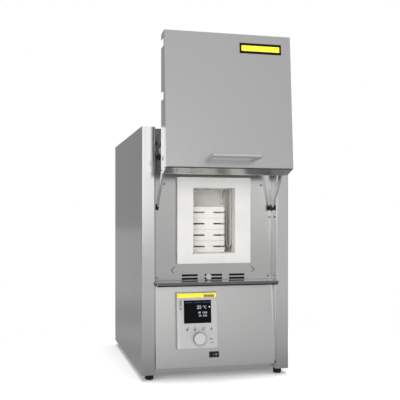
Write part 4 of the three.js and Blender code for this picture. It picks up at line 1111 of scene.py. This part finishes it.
# The dark ring over the dial's side is painted shade, for the shaded side of the dial.
shade_ring_inner, shade_ring_outer = dial_radius + 0.05 * MM, dial_radius + 0.6 * MM
spun_ring("dial_side_painted_shade", [
    (shade_ring_inner, -4.6 * MM), (shade_ring_outer - 0.2 * MM, -4.6 * MM), (shade_ring_outer, -4.2 * MM),
    (shade_ring_outer, 4.6 * MM), (shade_ring_outer - 0.2 * MM, 5 * MM), (shade_ring_inner, 5 * MM),
], dial_middle, dial_out, "grey_print_and_painted_shade", nodes["control_dial"]["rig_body"])
print("pipe radius", round(pipe_radius, 4), "dial radius", round(dial_radius, 4))

# %% [markdown]
# The floor is a pale sheet that melts into the white background away from the furnace. Close by
# it takes the soft shadow. In mirror reflections it is a mid grey, with a painted shadow that
# makes it darker near the furnace.

# %% Floor
floor_reach = 30
floor_colour = (0.93, 0.93, 0.93)
floor_fade = (0.55, 0.95)
floor_glow = 0.09
shade_centre = (0.05, -0.02, 0)
# Each step below says from where to where, in metres, and between which two shares of the light
# Painted shadow: in mirror reflections the floor darkens towards the furnace.
floor_mirrored_painted_shadow = [(0.35, 0.9, 0.35, 0.53), (0.9, 2.6, 0, 0.16)]
floor_behind = (-0.4, 1.4, 1, 0.58)


def floor_material():
    tree, shader = new_material("pale_floor", floor_colour, 0.7)
    cloud = use_group(tree, cloudy_variation, Scale=1.0, Low=0.985, High=1.0)
    tinted(tree, shader, cloud.outputs["Value"], floor_colour)
    shader.inputs["Emission Color"].default_value = (1, 1, 1, 1)
    shader.inputs["Emission Strength"].default_value = floor_glow
    ray = tree.nodes.new("ShaderNodeLightPath")
    place = tree.nodes.new("ShaderNodeTexCoord").outputs["Object"]
    length = add(tree, "ShaderNodeVectorMath", operation="LENGTH")
    tree.links.new(place, length.inputs[0])
    fade = smooth_step(tree, length.outputs["Value"], *floor_fade)
    white = add(tree, "ShaderNodeEmission")
    grey = add(tree, "ShaderNodeEmission")
    distance = add(tree, "ShaderNodeVectorMath", operation="DISTANCE")
    distance.inputs[1].default_value = shade_centre
    tree.links.new(place, distance.inputs[0])
    near, far = [smooth_step(tree, distance.outputs["Value"], *steps) for steps in floor_mirrored_painted_shadow]
    behind = smooth_step(tree, axes(tree, place)["Y"], *floor_behind)
    tree.links.new(maths(tree, "MULTIPLY", maths(tree, "ADD", near, far), behind), grey.inputs["Color"])
    seen = mixed(tree, fade, shader.outputs["BSDF"], white.outputs["Emission"])
    both = mixed(tree, ray.outputs["Is Glossy Ray"], seen, grey.outputs["Emission"])
    tree.links.new(both, tree.nodes["Material Output"].inputs["Surface"])


bm = bmesh.new()
bmesh.ops.create_grid(bm, x_segments=1, y_segments=1, size=floor_reach)
floor_material()
to_object(bm, "floor", "pale_floor")
print("floor fades between", floor_fade, "m")
